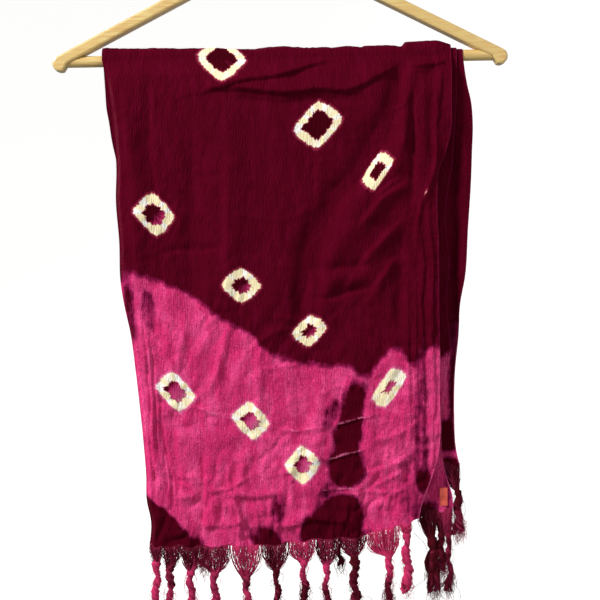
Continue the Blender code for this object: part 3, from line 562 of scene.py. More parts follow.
def out_from_bar(ply, folds, x, drop, run, from_edge, seed):
    """From the bar's axis plane out to the middle of the ply's wall, at a drop below the bar.

    The outer ply's slack, with its folds and puckers, never sinks below FOLD_FLOOR: of its excess e over the
    floor, half of e + sqrt(e^2 + ease^2) is kept. The other plies sway in one long wave.
    """
    base = BAR_RADIUS + ply.lift + 0.5 * PLY_WALL
    settled = smooth_step(drop / SETTLE_DROP)
    small = ply.share * crinkle(x, drop, seed)
    if ply is not OUTER:
        slack = ply.sway * (0.5 + 0.5 * np.sin(2 * math.pi * (x / SWAY_ACROSS + drop / SWAY_DOWN)))
        return base + settled * (ply.part + slack + small + folded(folds, x, drop))
    loosened = smooth_step(drop / 0.018)
    relief = (folded(folds, x, drop) + puckers(x, run)) * smooth_step(drop / 0.010)
    excess = FOLD_REST * loosened + relief - FOLD_FLOOR
    slack = FOLD_FLOOR + 0.5 * (excess + np.sqrt(excess**2 + FLOOR_EASE**2))
    slack = (slack + small * loosened) * smooth_step(from_edge / 0.006)
    return base + settled * ply.part + slack * smooth_step(drop / 0.005)


def out_in_front(ply, x, drop, seed):
    """How far out from the bar's axis plane the ply's front stands at (x, drop)."""
    return out_from_bar(ply, ply.folds, x, drop, drop, x - through(ply.left, drop), seed)


def hem_at(ply, x):
    """The hem's drop at x: along its line, and lower where a tassel gathers it, by a bell at each."""
    drop = through(ply.hem, x)
    for tassel in ply.tassels:
        half = 0.45 * (tassel.right - tassel.left)
        drop = drop + HEM_SAG * np.exp(-(((x - tassel.stem) / half) ** 2))
    return drop - HEM_RISE


def hem_drop(ply, u):
    """The hem's drop a part u of the way across: found by turns with x, as both hem and edges slope."""
    drop = np.full(np.shape(u), ply.hem[0, 1])
    for _ in range(6):
        drop = hem_at(ply, through(ply.left, drop) * (1 - u) + through(ply.right, drop) * u)
    return drop


def hanging_ply(ply, front_rows, over_rows, back_rows, columns, bottom, turn_radius):
    """A ply's points, from its hem over the bar to its other end, and their x, run and way to the selvedge.

    In front, z = bar - drop and y = -out(x, drop). Over the bar, the outer ply's radius R swells by its
    slouch and crinkle, times sin^2(angle). Behind, y = +out, and a ply that turns follows a half circle of
    turn_radius at the bottom and climbs inside. The run along the cloth is +drop in front, -R angle over the
    bar, and goes on.
    """
    t = np.linspace(0.0, 1.0, columns)[None, :]
    u = t - EDGE_CROWDING * np.sin(2 * math.pi * t) / (2 * math.pi)
    drop = np.linspace(1.0, 0.0, front_rows)[:, None] * hem_drop(ply, u)
    low, high = through(ply.left, drop), through(ply.right, drop)
    x = low + (high - low) * u
    front = np.stack([x, -out_in_front(ply, x, drop, ply.seed), BAR_Z - drop], axis=-1)
    front_place = np.stack([x, drop, high - x], axis=-1)

    radius = BAR_RADIUS + ply.lift + 0.5 * PLY_WALL
    angle = np.linspace(0.0, math.pi, over_rows + 2)[1:-1, None]
    bar_left, bar_right = through(ply.left, 0.0), through(ply.right, 0.0)
    x = np.broadcast_to(bar_left * (1 - u) + bar_right * u, (over_rows, columns))
    swell = np.zeros_like(x)
    if ply is OUTER:
        slouch = SLOUCH_REST + SLOUCH * smooth_step((x - SLOUCH_FROM) / 0.0045) * (
            1 - smooth_step((x - SLOUCH_TO) / 0.018))
        slouch = slouch + FOLD_SIDE_RISE * (1 - smooth_step((x - FOLD_SIDE) / 0.150))
        swell = (slouch + 1.5 * np.abs(crinkle(x, -radius * angle, ply.seed))) * np.sin(angle) ** 2
    over = np.stack([x, -(radius + swell) * np.cos(angle), BAR_Z + (radius + swell) * np.sin(angle)], axis=-1)
    over_place = np.stack([x, np.broadcast_to(-radius * angle, x.shape), x[:, -1:] - x], axis=-1)

    turn = math.pi * turn_radius
    straight = bottom - turn_radius
    path = np.linspace(0.0, straight + turn + (RETURN_RISE if turn_radius else 0.0), back_rows)[:, None]
    around = np.clip((path - straight) / max(turn_radius, 1e-9), 0.0, math.pi)
    climbed = np.maximum(path - straight - turn, 0.0)
    drop = np.minimum(path, straight) + turn_radius * np.sin(around) - climbed
    settled = smooth_step(drop / BACK_SETTLE)
    low = bar_left * (1 - settled) + (through(BACK_LEFT, drop) + ply.inset) * settled
    high = bar_right * (1 - settled) + (through(BACK_RIGHT, drop) - ply.inset) * settled
    x = low + (high - low) * u
    run = np.broadcast_to(-math.pi * radius - path, x.shape)
    back_seed = ply.seed + 7
    out = out_from_bar(ply, ply.back_folds, x, np.broadcast_to(drop, x.shape), run, x - low, back_seed)
    if turn_radius:
        level = float(out_from_bar(OUTER, (), *np.array([0.0, bottom, 1.0, 1.0]), back_seed))
        out = level + (out - level) * smooth_step((straight - path) / 0.030)
        # The end that climbs inside leans in, clear of the ply that hangs between.
        out = out - turn_radius * (1 - np.cos(around)) - LEAN_IN * smooth_step(climbed / 0.005)
    back = np.stack([x, out, np.broadcast_to(BAR_Z - drop, x.shape)], axis=-1)
    back_place = np.stack([x, run, high - x], axis=-1)
    return np.concatenate([front, over, back]), np.concatenate([front_place, over_place, back_place])


# ---------------------------------------------------------------- the dye
# The cloth was dyed pink, tied and dyed again in maroon. Where thread bound it, pale diamond rings are left,
# with the second dye's bleed along both sides. Pink starts along lines of (x, run).
FRONT_PINK_FROM = line(
    (-165, 224), (-150, 210), (-134, 213), (-110, 222), (-88, 232), (-62, 254), (-38, 266), (-14, 288),
    (12, 297), (40, 302), (62, 303), (80, 313), (94, 294), (108, 286), (126, 302), (138, 288), (165, 291),
)
BACK_PINK_FROM = line(
    (-170, -352), (-130, -341), (-90, -318), (-50, -305), (-10, -287), (30, -279), (80, -262), (120, -251),
    (175, -246),
)
UNDER_PINK_FROM = line((-170, 300), (140, 300), (170, 286))
INNER_PINK_FROM = line((-170, 300), (150, 284), (180, 288))
# Where the maroon soaked through the pink again: soft-cornered patches. most is the greatest depth of dye, as
# millimetres inside the patch's edge: 9 is as dark as the maroon ground, 0 about half way.
Blot = namedtuple("Blot", "x run half_wide half_long lean most")
OUTER_BLOTS = table(
    Blot, 4,
    (65.5, 337.5, 9.8, 18.5, -0.21, 9),
    (59.5, 369, 13, 16.5, -0.06, 9),
    (57.3, 400.5, 16.8, 18, 0, 9),
    (60, 370, 11.2, 44, -0.12, 9),
    (44, 348, 5, 10, -0.3, -0.6),
    (52.5, 446.5, 20, 20.5, 0, 9),
    (50, 472, 28, 14, 0, 9),
    (29, 456, 15, 17, -0.4, 9),
    (37, 430, 7, 13, -0.3, -0.6),
    (-147, 443, 33.5, 34, 1.1, 9),
    (-108, 479, 27, 16, 0, 9),
    (-9, 440, 5, 11, -0.2, 0.4),
    (-20, 469, 13, 12, 0.3, 2),
    (-150, 243, 3.6, 22, 0.1, 1),
    (-131, 245, 5, 14, 0.1, -0.8),
    (130, 340, 3.6, 30, -0.04, -1),
    (129.5, 388, 5, 23, -0.06, -0.4),
    (132, 413, 7.4, 12, 0.1, 3),
    (124, 439, 6, 12, 0.2, -0.8),
    (120, 420, 10, 28, 0, -2),
    (-128, -430, 16, 30, 0.2, 9),
    (16, -440, 14, 32, 0.1, 9),
    (148, -390, 9, 50, 0, 9),
    (-18, -315, 8, 16, 0.2, 0.4),
)
UNDER_BLOTS = table(
    Blot, 4,
    (-130, 440, 30, 30, 0, 9),
    (135, 444, 10, 7, 0, 1),
    (160, 425, 4.2, 26, 0.06, -0.4),
)
INNER_BLOTS = table(
    Blot, 4,
    (166.8, 325, 6.8, 44, -0.03, 9),
    (165, 371.5, 30, 15, 0, 9),
    (165, 406, 30, 12.5, 0, 9),
)
BLOT_ROUNDNESS = 2.6  # 2 is an ellipse, more is squarer

# Each ply's sheet: how many points it has along and across, where its back ends or turns, and its dyes.
Sheet = namedtuple(
    "Sheet", "ply front_rows over_rows back_rows columns bottom turn_radius pink_from blots rings")
SHEETS = (
    Sheet(OUTER, 284, 14, 120, 236, BACK_DROP, TURN_RADIUS, FRONT_PINK_FROM, OUTER_BLOTS, RINGS),
    Sheet(UNDER, 150, 14, 90, 80, BACK_DROP - 2 * TURN_RADIUS, 0.0, UNDER_PINK_FROM, UNDER_BLOTS, ()),
    Sheet(INNER, 150, 14, 90, 80, BACK_DROP - TURN_RADIUS - RETURN_RISE - SEAM_GAP, 0.0,
          INNER_PINK_FROM, INNER_BLOTS, ()),
)


def ring_distance(rings, x, run):
    """Millimetres out from the middle of the nearest ring's band, that ring's pinkness inside with painted
    shade across it, and a bearing.

    With a and b a point's shares of the half diagonals, r = (|a|^p + |b|^p)^(1/p) is 1 at the outer corners.
    The bearing is the direction from the ring's centre, with a third number that differs from ring to ring.
    """
    nearest = np.full(x.shape, 99.0)
    heart = np.zeros(x.shape)
    bearing = np.zeros((*x.shape, 3))
    for ring in rings:
        across, up = (ring.right_x, ring.right_run), (ring.up_x, ring.up_run)
        dx, dr = x - ring.x, run - ring.run
        area = across[0] * up[1] - across[1] * up[0]
        a = (dx * up[1] - dr * up[0]) / area
        b = (across[0] * dr - across[1] * dx) / area
        r = (np.abs(a) ** RING_ROUNDNESS + np.abs(b) ** RING_ROUNDNESS) ** (1 / RING_ROUNDNESS)
        size = 0.40 * (math.hypot(*across) + math.hypot(*up))  # a side is nearer the middle than a corner
        distance = ((r - 1) * size + RING_BAND / 2) * 1000
        distance = np.where(distance < 0, distance * ring.open, distance)
        closer = np.abs(distance) < np.abs(nearest)
        nearest = np.where(closer, distance, nearest)
        # The pinkness inside rises towards the lower right and falls towards the upper left: painted shade at
        # the upper left of each heart.
        inside = ring.heart + (1.1 * a - 0.9 * b) * min(1.0, 3 * ring.heart)
        heart = np.where(closer, inside, heart)
        away = np.hypot(dx, dr) + 1e-6
        towards = np.stack([dx / away, dr / away, np.full_like(dx, 40 * ring.x)], axis=-1)
        bearing = np.where(closer[..., None], towards, bearing)
    return nearest, heart, bearing


def blot_depth(blots, x, run):
    """Millimetres inside the nearest blot: (1 - r) times its lesser half size, for r^p = |a|^p + |b|^p."""
    depth = np.full(x.shape, -99.0)
    for blot in blots:
        a = (x - blot.x - blot.lean * (run - blot.run)) / blot.half_wide
        b = (run - blot.run) / blot.half_long
        r = (np.abs(a) ** BLOT_ROUNDNESS + np.abs(b) ** BLOT_ROUNDNESS) ** (1 / BLOT_ROUNDNESS)
        inside = (1 - r) * min(blot.half_wide, blot.half_long) * 1000
        depth = np.maximum(depth, np.minimum(inside, blot.most))
    return depth


# Along the crests of its sharpest pulls the colour is painted lighter, pale pink on the pink: a painted
# highlight of ridges that face the lamp.
HIGHLIGHTED_PULLS = [fold for fold in FRONT_FOLDS if "pull" in fold.name and fold.near < 0.0015]
crepe, crepe_shader = new_material("twice dyed cotton crepe", 0.85, specular_ior_level=0.03)
for sheet in SHEETS:
    ply = sheet.ply
    points, places = hanging_ply(*sheet[:7])  # all but its dyes
    rows, columns = points.shape[:2]
    piece = mesh_of(f"{ply.name}_ply", points.reshape(-1, 3), [grid_quads(rows, columns)], crepe)
    x, run, from_selvedge = places.reshape(-1, 3).T
    ring_mm, heart, bearing = ring_distance(sheet.rings, x, run)
    pink_mm = np.maximum(run - through(sheet.pink_from, x), through(BACK_PINK_FROM, x) - run) * 1000
    for name, values in (("ring_mm", ring_mm), ("heart", heart), ("pink_mm", pink_mm),
                         ("blot_mm", blot_depth(sheet.blots, x, run)),
                         ("selvedge_mm", 1000 * from_selvedge),
                         ("pull_mm", 1000 * folded(HIGHLIGHTED_PULLS if ply is OUTER else (), x, run))):
        layer = piece.data.attributes.new(name, "FLOAT", "POINT")
        layer.data.foreach_set("value", values.astype(np.float32))
    for name, values in (("place", np.stack([x, run, np.zeros_like(x)], axis=-1)), ("bearing", bearing)):
        layer = piece.data.attributes.new(name, "FLOAT_VECTOR", "POINT")
        layer.data.foreach_set("vector", values.astype(np.float32).ravel())
    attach(piece, "root")
    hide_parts(f"{ply.name}_front", f"{ply.name}_over_bar", f"{ply.name}_back")

# The dye's own colours and how they meet: each edge wanders by some millimetres and frays along the threads.
# A noise's scale is about one over the size of its marks in metres.
place = add(crepe, "ShaderNodeAttribute", attribute_name="place").outputs["Vector"]
bearing = add(crepe, "ShaderNodeAttribute", attribute_name="bearing").outputs["Vector"]
drawn_out, drawn_less = (
    add(crepe, "ShaderNodeVectorMath", {0: place, 1: (1.0, along, 1.0)}, operation="MULTIPLY").outputs[0]
    for along in (0.22, 0.40))
wander, fray, streak, cloud, panels, mottle, fleck, rays, lobes, grain = (
    add(crepe, "ShaderNodeTexNoise",
        {"Vector": seen, "Scale": scale, "Detail": detail, "Roughness": rough, "Distortion": distortion},
        ).outputs["Fac"]
    for seen, scale, detail, rough, distortion in (
        (place, 120.0, 3.0, 0.50, 0.0),       # wander
        (place, 700.0, 2.0, 0.50, 0.0),       # fray
        (drawn_out, 150.0, 4.0, 0.60, 0.0),   # streak
        (place, 30.0, 3.0, 0.50, 0.0),        # cloud
        (drawn_less, 62.0, 2.0, 0.50, 0.6),   # panels
        (place, 260.0, 4.0, 0.65, 0.8),       # mottle
        (place, 480.0, 3.0, 0.70, 0.0),       # fleck
        (bearing, 9.0, 2.0, 0.50, 0.0),       # rays
        (bearing, 2.2, 1.0, 0.50, 0.0),       # lobes
        (drawn_out, 640.0, 3.0, 0.55, 0.0),   # grain
    ))
down_run = add(crepe, "ShaderNodeSeparateXYZ", {0: bearing}).outputs["Y"]


def reading(material, name, *jitters):
    """A float attribute plus each noise's swing, (noise - 0.5) times its size in millimetres."""
    value = add(material, "ShaderNodeAttribute", attribute_name=name).outputs["Fac"]
    for noise, size in jitters:
        swung = add(material, "ShaderNodeMath", {0: noise, 1: size, 2: value}, operation="MULTIPLY_ADD")
        centred = add(material, "ShaderNodeMath", {0: swung.outputs[0], 1: -0.5 * size}, operation="ADD")
        value = centred.outputs[0]
    return value


def coated(material, colour, *coats):
    """A colour with coats laid over it in turn, each (value, start, end, most, colour).

    A coat covers by a smooth step of its value from start to end, times most. A colour is a hex or a socket.
    """
    colour = linear(colour) if isinstance(colour, str) else colour
    for value, start, end, most, over in coats:
        over = linear(over) if isinstance(over, str) else over
        share = add(material, "ShaderNodeMapRange",
                    {"Value": value, "From Min": start, "From Max": end, "To Max": most},
                    interpolation_type="SMOOTHSTEP").outputs["Result"]
        colour = add(material, "ShaderNodeMix", {0: share, 6: colour, 7: over}, data_type="RGBA").outputs[2]
    return colour


maroon = coated(crepe, "#4E0014", (streak, 0.30, 0.72, 1.0, "#5C0220"), (cloud, 0.40, 0.72, 1.0, "#540118"))
pink = coated(crepe, "#D83070", (panels, 0.42, 0.60, 1.0, "#EC4A8A"), (cloud, 0.40, 0.62, 0.6, "#CC2E6A"),
              (streak, 0.50, 0.75, 0.5, "#EC5C98"), (mottle, 0.50, 0.66, 0.55, "#B0225E"),
              (fray, 0.46, 0.70, 0.50, "#8E1848"), (fleck, 0.56, 0.70, 0.45, "#FF7CAE"))
over_pink = reading(crepe, "pink_mm", (wander, 12.0), (streak, 7.0), (fray, 4.0))
soaked = reading(crepe, "blot_mm", (wander, 6.0), (streak, 8.0), (fray, 2.4))
ground = coated(crepe, maroon, (over_pink, -4.0, 0.5, 1.0, "#8A1648"), (over_pink, -0.5, 4.0, 1.0, pink),
                (soaked, -4.0, 0.2, 1.0, "#8A1A4C"), (soaked, -1.2, 1.6, 1.0, "#4C0014"))
# The pulls' crests: a painted highlight, paler on the pink ground.
pull_highlight_mask = reading(crepe, "pull_mm", (wander, 2.6), (fray, 1.4))
pull_highlight_tint = coated(crepe, "#B4587C", (over_pink, -0.5, 4.0, 1.0, "#F274A6"))
ground = coated(crepe, ground, (pull_highlight_mask, 1.3, 2.3, 0.6, pull_highlight_tint))

# A ring's outer side is fairly even. Its inner side is drawn into points, where the thread gathered the
# cloth. The band is nearly white, and cream in lobes.
outward = reading(crepe, "ring_mm", (rays, 3.0), (wander, 4.0), (fray, 1.6))
inward = reading(crepe, "ring_mm", (rays, 4.0), (lobes, 7.0), (wander, 3.0), (fray, 1.6))
heart = reading(crepe, "heart", (wander, 0.7), (rays, 0.9))
cream = add(crepe, "ShaderNodeMath", {0: down_run, 1: 0.04, 2: lobes}, operation="MULTIPLY_ADD").outputs[0]
pale = coated(crepe, "#FFFDF6", (cream, 0.34, 0.54, 1.0, "#FFF0C2"))
bleed = coated(crepe, "#9B2A48", (over_pink, -3.0, 6.0, 1.0, "#E66F9E"))
# Inside a ring, by the heart's reading: maroon to pink, darker towards its upper left as painted shade. Its
# palest pink, #EFA9BE, is a painted highlight at the lower right of the pinkest hearts.
dyed = coated(crepe, "#42000F", (heart, 0.30, 0.62, 1.0, "#9C1C4E"), (heart, 0.58, 0.90, 1.0, "#C8427A"),
              (heart, 1.15, 1.60, 0.6, "#EFA9BE"), (inward, -5.0, -3.6, 1.0, "#A82E50"),
              (inward, -4.1, -3.0, 1.0, pale), (outward, 2.6, 3.9, 1.0, bleed),
              (outward, 3.2, 6.2, 1.0, ground))

# The selvedge is woven closer and took less of the second dye: a paler line about 1 mm wide.
edge_mm = reading(crepe, "selvedge_mm", (streak, 2.4))
edge_tint = coated(crepe, "#6C1034", (over_pink, -3.0, 6.0, 1.0, "#DA558A"))
dyed = coated(crepe, dyed, (edge_mm, 1.5, 0.5, 0.6, edge_tint))
crepe.node_tree.links.new(dyed, crepe_shader.inputs["Base Color"])

# Crepe's overtwisted yarns pucker it in grains about 1.5 mm wide and 5 mm long, drawn at their real size.
# The weave itself, of 0.3 mm threads, is too fine to show and is drawn at 1.1 mm.
warp_threads = add(crepe, "ShaderNodeTexWave", {"Vector": place, "Scale": 145.0, "Distortion": 0.4},
                   wave_type="BANDS", bands_direction="X").outputs["Fac"]
relief = add(crepe, "ShaderNodeMath", {0: warp_threads, 1: 0.06, 2: grain}, operation="MULTIPLY_ADD")
bump = add(crepe, "ShaderNodeBump", {"Height": relief.outputs[0], "Strength": 1.0, "Distance": 0.0018})
crepe.node_tree.links.new(bump.outputs["Normal"], crepe_shader.inputs["Normal"])

# ---------------------------------------------------------------- the fringe
# The cloth's own warp yarns, left long at its end, twisted by hand in two plies and knotted below the hem.
# They hang from the weave itself. Their ends are loose.
FAN_STEPS = 10
STEM_STEPS = 24
ROOT_SEED = 11  # the roots of all three fringes follow the outer ply's unevenness
ROOT_INSIDE = 0.0015  # a yarn's root is set this far up inside the hem
YARN_RADIUS = 0.00092
WINDING_RADIUS = 0.00160
LOOSE_END_SPREAD = 0.0042
WAVER = np.array([0.0015, 0.0008])[:, None]  # sideways, and out from the bar
WAVES = np.array([1.6, 1.2])[:, None]
KNOT_TURNS = 3.0
KNOT_RADIUS = 0.0017
KNOT_YARN_RADIUS = 0.00085
KNOT_HEIGHT = 0.0030
KNOT_ABOVE_NECK = 0.0016
WEB_STRANDS = 90
WEB_LOOPS = 60
WEB_RADIUS = 0.00024
WEB_TANGLE = 0.0022
HAIRS_A_YARN = 9
HAIR_STEPS = 7
HAIR_RADIUS = 0.00016
HAIR_PINKER = 0.25  # a hair lets light through, and looks paler than its yarn
STRAY_RADIUS = 0.00022


def tubes(name, paths, radii, sides, material):
    """Round tubes along paths (n, steps, 3) of given radii (n, steps), closed by a flat face at each end.

    Rings stand square to the path: one axis is the tangent's cross product with Y, the other that one's with
    the tangent.
    """
    tangent = np.gradient(paths, axis=1)
    tangent /= np.linalg.norm(tangent, axis=-1, keepdims=True)
    side = np.cross(tangent, (0.0, 1.0, 0.0))
    side /= np.linalg.norm(side, axis=-1, keepdims=True)
    other = np.cross(side, tangent)
    angle = np.linspace(0.0, 2 * math.pi, sides + 1)[:-1, None]
    ring = side[:, :, None] * np.cos(angle) + other[:, :, None] * np.sin(angle)
    points = paths[:, :, None] + ring * radii[:, :, None, None]
    count, steps = paths.shape[:2]
    first = np.arange(count)[:, None] * steps * sides
    quads = (grid_quads(steps, sides, True)[None] + first[..., None]).reshape(-1, 4)
    top = first + np.arange(sides)
    end = first + (steps - 1) * sides + np.arange(sides)
    return mesh_of(name, points.reshape(-1, 3), [quads[:, ::-1], top, end[:, ::-1]], material)


def tassel_yarns(tassel, ply, lean, seed):
    """One tassel: its twisted yarns with their knot, and the fine loose warp ends round them at the hem.

    Each is (paths (n, steps, 3), radii (n, steps), dyes (n, steps)). From its root in the hem a yarn runs to
    the neck, moving in as t^bag as it falls as t. Below it the yarns wind in two plies round a stem that
    wavers sideways, and open out again near their ends.
    """
    chance = np.random.default_rng(seed)
    n = tassel.strands
    roots = np.concatenate([np.arange(n) / (n - 1), chance.uniform(0, 1, WEB_STRANDS)])
    x = tassel.left + (tassel.right - tassel.left) * roots
    drop = hem_at(ply, x)
    root = np.stack([x, -out_in_front(ply, x, drop, ROOT_SEED), BAR_Z - drop + ROOT_INSIDE], axis=-1)
    middle = np.array([tassel.stem])
    stem_drop = through(ply.hem, middle)
    stem_out = out_in_front(ply, middle, stem_drop, ROOT_SEED) - lean

    t = np.linspace(0.0, 1.0, STEM_STEPS)[None, :]
    length = (tassel.length - tassel.neck) * chance.uniform(0.86, 1.06, (n, 1))
    phase = np.where(np.arange(n) % 2, math.pi, 0.0) + chance.uniform(-0.75, 0.75, n)
    angle = phase[:, None] + 2 * math.pi * tassel.turns * t * chance.uniform(0.97, 1.03, (n, 1)) + seed
    open_end = smooth_step((t - 0.80) / 0.25)
    spread = WINDING_RADIUS * tassel.thickness * chance.uniform(0.55, 1.25, (n, 1))
    lumps = uneven(11 * t + 3 * seed, np.zeros_like(t) + seed, seed)
    spread = spread * (0.85 + 0.35 * lumps) + LOOSE_END_SPREAD * open_end * chance.uniform(0.1, 1.0, (n, 1))
    waver = WAVER * np.sin(2 * math.pi * (WAVES * t + chance.uniform(0, 1, (2, 1)))) * smooth_step(t / 0.2)
    stem = np.stack([
        tassel.stem + waver[0] + spread * np.cos(angle),
        -stem_out + waver[1] + spread * np.sin(angle),
        BAR_Z - stem_drop - tassel.neck - length * t], axis=-1)

    fall = np.linspace(0.0, 1.0, FAN_STEPS + 1)[None, :-1, None]
    draw = fall ** np.array([tassel.bag, 1.0, 1.0])
    fan = root[:n, None] * (1 - draw) + stem[:, :1] * draw
    paths = np.concatenate([fan, stem], axis=1)
    radii = np.full(paths.shape[:2], YARN_RADIUS) * chance.uniform(0.8, 1.2, (n, 1))
    radii[:, :FAN_STEPS] *= 0.45 + 0.55 * fall[..., 0] ** 2
    radii[:, FAN_STEPS:] *= tassel.thickness * (1 - 0.55 * open_end) * (1.08 + 0.34 * lumps)
    steps = np.arange(FAN_STEPS + STEM_STEPS)
    speckle = 0.35 * uneven(steps * 0.3 + seed, np.arange(n)[:, None] * 0.7, seed)
    fan_dye = tassel.hem_dye + (tassel.neck_dye - tassel.hem_dye) * fall[..., 0] ** 2
    stem_dye = tassel.neck_dye + (tassel.end_dye - tassel.neck_dye) * smooth_step(2.2 * t - 0.35)
    dyes = np.concatenate([np.repeat(fan_dye, n, 0), np.repeat(stem_dye, n, 0)], axis=1) + speckle

    winding = np.linspace(0.0, 2 * math.pi * KNOT_TURNS, len(steps))
    knot_radius = KNOT_RADIUS * tassel.thickness
    knot = np.stack([
        tassel.stem + knot_radius * np.cos(winding),
        -stem_out + knot_radius * np.sin(winding),
        BAR_Z - stem_drop - tassel.neck - KNOT_HEIGHT * winding / winding[-1] + KNOT_ABOVE_NECK], axis=-1)
    paths = np.concatenate([paths, knot[None]])
    radii = np.concatenate([radii, np.full((1, len(steps)), KNOT_YARN_RADIUS * tassel.thickness)])
    dyes = np.concatenate([dyes, np.full((1, len(steps)), tassel.neck_dye)])
    return (paths, radii, dyes), hem_web(tassel, ply, root[n:, None], stem[:, 0], chance)


def hem_web(tassel, ply, roots, tops, chance):
    """The opened weave above a knot: warp ends that fall to it, and wefts that hang between them in loops."""
    meeting = tops[chance.integers(0, len(tops), WEB_STRANDS)][:, None]
    fall = np.linspace(0.0, 1.0, FAN_STEPS)[None, :, None]
    even = np.ones(WEB_STRANDS)
    bags = np.stack([tassel.bag * chance.uniform(0.7, 1.8, WEB_STRANDS), even, even], axis=-1)
    draw = fall ** bags[:, None]
    web = roots * (1 - draw) + meeting * draw
    fall = fall[..., 0]
    waves = chance.uniform(0.5, 2.2, (WEB_STRANDS, 1)) * fall + chance.uniform(0, 1, (WEB_STRANDS, 1))
    web[..., 0] += WEB_TANGLE * np.sin(2 * math.pi * waves) * np.sin(math.pi * fall)
    web[..., 1] += chance.uniform(-0.0015, 0.0010, (WEB_STRANDS, 1)) * np.sin(math.pi * fall)
    half = 0.5 * (tassel.right - tassel.left)
    ends = chance.uniform(-0.85, 0.85, (WEB_LOOPS, 2))
    room = (1 - np.abs(ends).max(axis=1, keepdims=True)) ** (1 / tassel.bag)
    t = np.linspace(0.0, 1.0, FAN_STEPS)[None, :]
    x = (tassel.left + tassel.right) / 2 + half * (ends[:, :1] * (1 - t) + ends[:, 1:] * t)
    drop = hem_at(ply, x) - 0.001
    sag = tassel.neck * room * chance.uniform(0.35, 0.95, (WEB_LOOPS, 1)) * 4 * t * (1 - t)
    loops = np.stack([x, -out_in_front(ply, x, drop, ROOT_SEED) - 0.0004, BAR_Z - drop - sag], axis=-1)
    web = np.concatenate([web, loops])
    dyes = tassel.hem_dye + chance.uniform(-0.10, 0.55, (len(web), 1)) + np.zeros((1, FAN_STEPS))
    return web, np.full((len(web), FAN_STEPS), WEB_RADIUS), dyes


def loose_hairs(paths, dyes, seed):
    """Fine hairs that spring from random places on the yarns, curl out and hang: paths, radii and dyes."""
    chance = np.random.default_rng(seed)
    count = HAIRS_A_YARN * len(paths)
    strand = chance.integers(0, len(paths), count)
    below_neck = chance.uniform(0, 1, count) ** 0.5  # more of them lower down
    step = (FAN_STEPS + 2 + 21 * below_neck).astype(int)
    t = np.linspace(0.0, 1.0, HAIR_STEPS)[None, :]
    reach = chance.uniform(0.001, 0.006, (count, 1)) * np.sign(chance.uniform(-1, 1, (count, 1)))
    fall = chance.uniform(0.004, 0.018, (count, 1))
    curl = chance.uniform(0.5, 1.4, (count, 1))
    bend = np.stack([reach * np.sin(math.pi * curl * t), -0.4 * np.abs(reach) * t, -fall * t**1.4], axis=-1)
    hairs = paths[strand, step][:, None] + bend
    pinker = dyes[strand, step][:, None] + np.full((1, HAIR_STEPS), HAIR_PINKER)
    return hairs, np.full((count, HAIR_STEPS), HAIR_RADIUS), pinker


# Single threads that have come loose and hang in a curl: four (x, drop) points each, and its dye.
Stray = namedtuple("Stray", "points dye")
STRAYS = (
    Stray(line((121.5, 464), (133, 478), (135, 504), (119, 518)), 0.1),
    Stray(line((155.5, 506), (160, 515), (164, 520), (166, 530)), 0.1),
    Stray(line((64, 508), (70, 524), (79, 526), (76, 540)), 0.1),
    Stray(line((-11, 520), (-3, 529), (-6, 542), (2, 548)), 0.3),
    Stray(line((-114, 506), (-121, 518), (-119, 534), (-124, 544)), 0.8),
)


def stray_threads(out):
    """The strays as paths, radii and dyes: a cubic curve through each one's points, at a distance out."""
    t = np.linspace(0.0, 1.0, 24)
    paths = []
    for stray in STRAYS:
        x, drop = (through([(k / 3, value) for k, value in enumerate(column)], t)
                   for column in stray.points.T)
        paths.append(np.stack([x, np.full_like(t, -out), BAR_Z - drop], axis=-1))
    dyes = np.array([stray.dye for stray in STRAYS])[:, None] + np.zeros((1, len(t)))
    return np.array(paths), np.full(dyes.shape, STRAY_RADIUS), dyes


yarn, yarn_shader = new_material("dyed two-ply cotton yarn", 0.9, specular_ior_level=0.1)
fringe_dye = add(yarn, "ShaderNodeAttribute", attribute_name="dye").outputs["Fac"]
yarn_colour = coated(yarn, "#4C0615", (fringe_dye, 0.15, 0.55, 1.0, "#96264C"),
                     (fringe_dye, 0.55, 1.0, 1.0, "#CC3468"))
yarn.node_tree.links.new(yarn_colour, yarn_shader.inputs["Base Color"])

fringe_pieces = {}
for ply, lean, seed in ((OUTER, 0.0, 100), (UNDER, 0.0025, 200), (INNER, 0.0, 300)):
    made = [tassel_yarns(tassel, ply, lean, seed + k) for k, tassel in enumerate(ply.tassels)]
    yarns, web = ([np.concatenate(part) for part in zip(*kind)] for kind in zip(*made))
    kinds = [("yarns", 6, yarns), ("web", 3, web), ("hairs", 3, loose_hairs(yarns[0], yarns[2], seed))]
    if ply is OUTER:
        kinds.append(("strays", 4, stray_threads(-float(yarns[0][0, -1, 1]))))
    for kind, sides, (where, thick, dye) in kinds:
        piece = tubes(f"{ply.name}_fringe_{kind}", where, thick, sides, yarn)
        values = np.repeat(dye.ravel(), sides)
        layer = piece.data.attributes.new("dye", "FLOAT", "POINT")
        layer.data.foreach_set("value", values.astype(np.float32))
        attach(piece, "root")
        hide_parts(f"{ply.name}_fringe")
        fringe_pieces.setdefault(ply.name, []).append(piece)

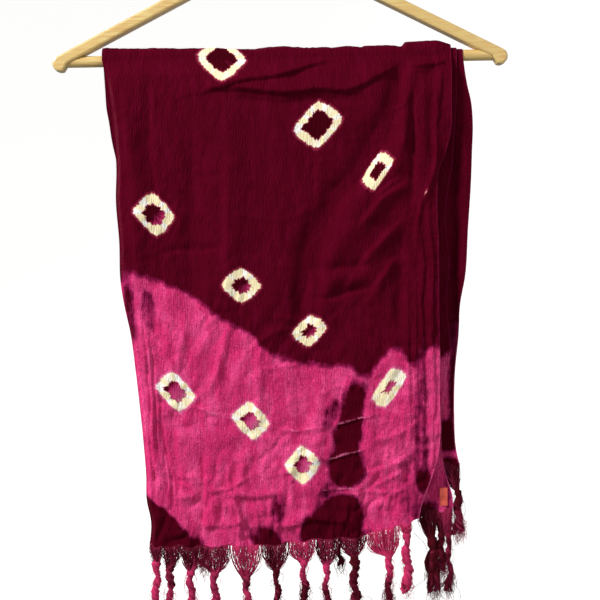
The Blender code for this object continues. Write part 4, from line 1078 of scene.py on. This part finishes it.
# ---------------------------------------------------------------- the label
# A plain woven tab, sewn flat to the under ply beside its hem. Its sides curl a little off the cloth.
LABEL_SIZE = (0.0075, 0.0175)
LABEL_CENTRE = (0.1516, 0.4308)
LABEL_GRID = (21, 9)
LABEL_OUT = 0.0011
LABEL_CURL = 0.0004
across, down = np.meshgrid(np.linspace(-0.5, 0.5, LABEL_GRID[1]), np.linspace(0.5, -0.5, LABEL_GRID[0]))
label_x = LABEL_CENTRE[0] + across * LABEL_SIZE[0]
label_drop = LABEL_CENTRE[1] + down * LABEL_SIZE[1]
label_out = out_in_front(UNDER, label_x, label_drop, UNDER.seed) + LABEL_OUT
label_points = np.stack([label_x, -label_out - LABEL_CURL * (2 * across) ** 4, BAR_Z - label_drop], axis=-1)
tape, tape_shader = new_material("woven orange tape", 0.8)
tape_place = add(tape, "ShaderNodeTexCoord").outputs["Object"]
tape_rib = add(tape, "ShaderNodeTexWave", {"Vector": tape_place, "Scale": 320.0, "Distortion": 1.0},
               wave_type="BANDS", bands_direction="Z").outputs["Fac"]
tape_colour = coated(tape, "#C0424C", (tape_rib, 0.2, 0.8, 1.0, "#E2603C"))
tape.node_tree.links.new(tape_colour, tape_shader.inputs["Base Color"])
label = mesh_of("label_tab", label_points.reshape(-1, 3), [grid_quads(*LABEL_GRID)], tape)
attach(label, "root")
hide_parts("label")

# ---------------------------------------------------------------- the hanger
# Flat shoulders sawn from pale beech, their edges rounded and varnished, with a dowel let in between their
# ends, and a bent wire hook screwed into the crown.
beech, beech_shader = new_material("varnished beech", 0.38, coat_weight=0.35)
wood_place = add(beech, "ShaderNodeTexCoord").outputs["Object"]
lengthwise = add(beech, "ShaderNodeVectorMath", {0: wood_place, 1: (0.10, 1.0, 1.0)}, operation="MULTIPLY")
growth = add(beech, "ShaderNodeTexNoise",
             {"Vector": lengthwise.outputs[0], "Scale": 420.0, "Detail": 5.0, "Roughness": 0.6})
patches = add(beech, "ShaderNodeTexNoise", {"Vector": wood_place, "Scale": 28.0, "Detail": 2.0})
wood = coated(beech, "#D3AA67", (growth.outputs["Fac"], 0.35, 0.68, 1.0, "#E8CE89"),
              (patches.outputs["Fac"], 0.40, 0.70, 0.8, "#DEBD78"))
beech.node_tree.links.new(wood, beech_shader.inputs["Base Color"])
plate, plate_shader = new_material("nickel plated steel wire", 0.22, metallic=1.0)
plate_shader.inputs["Base Color"].default_value = linear("#C9C7C2")
for node, finish, part_slot in (
        ("shoulders", beech, "wood"), ("trouser_bar", beech, "wood"), ("hook", plate, "steel")):
    shown = bpy.data.objects[node]
    shown.data.materials.clear()
    shown.data.materials.append(finish)
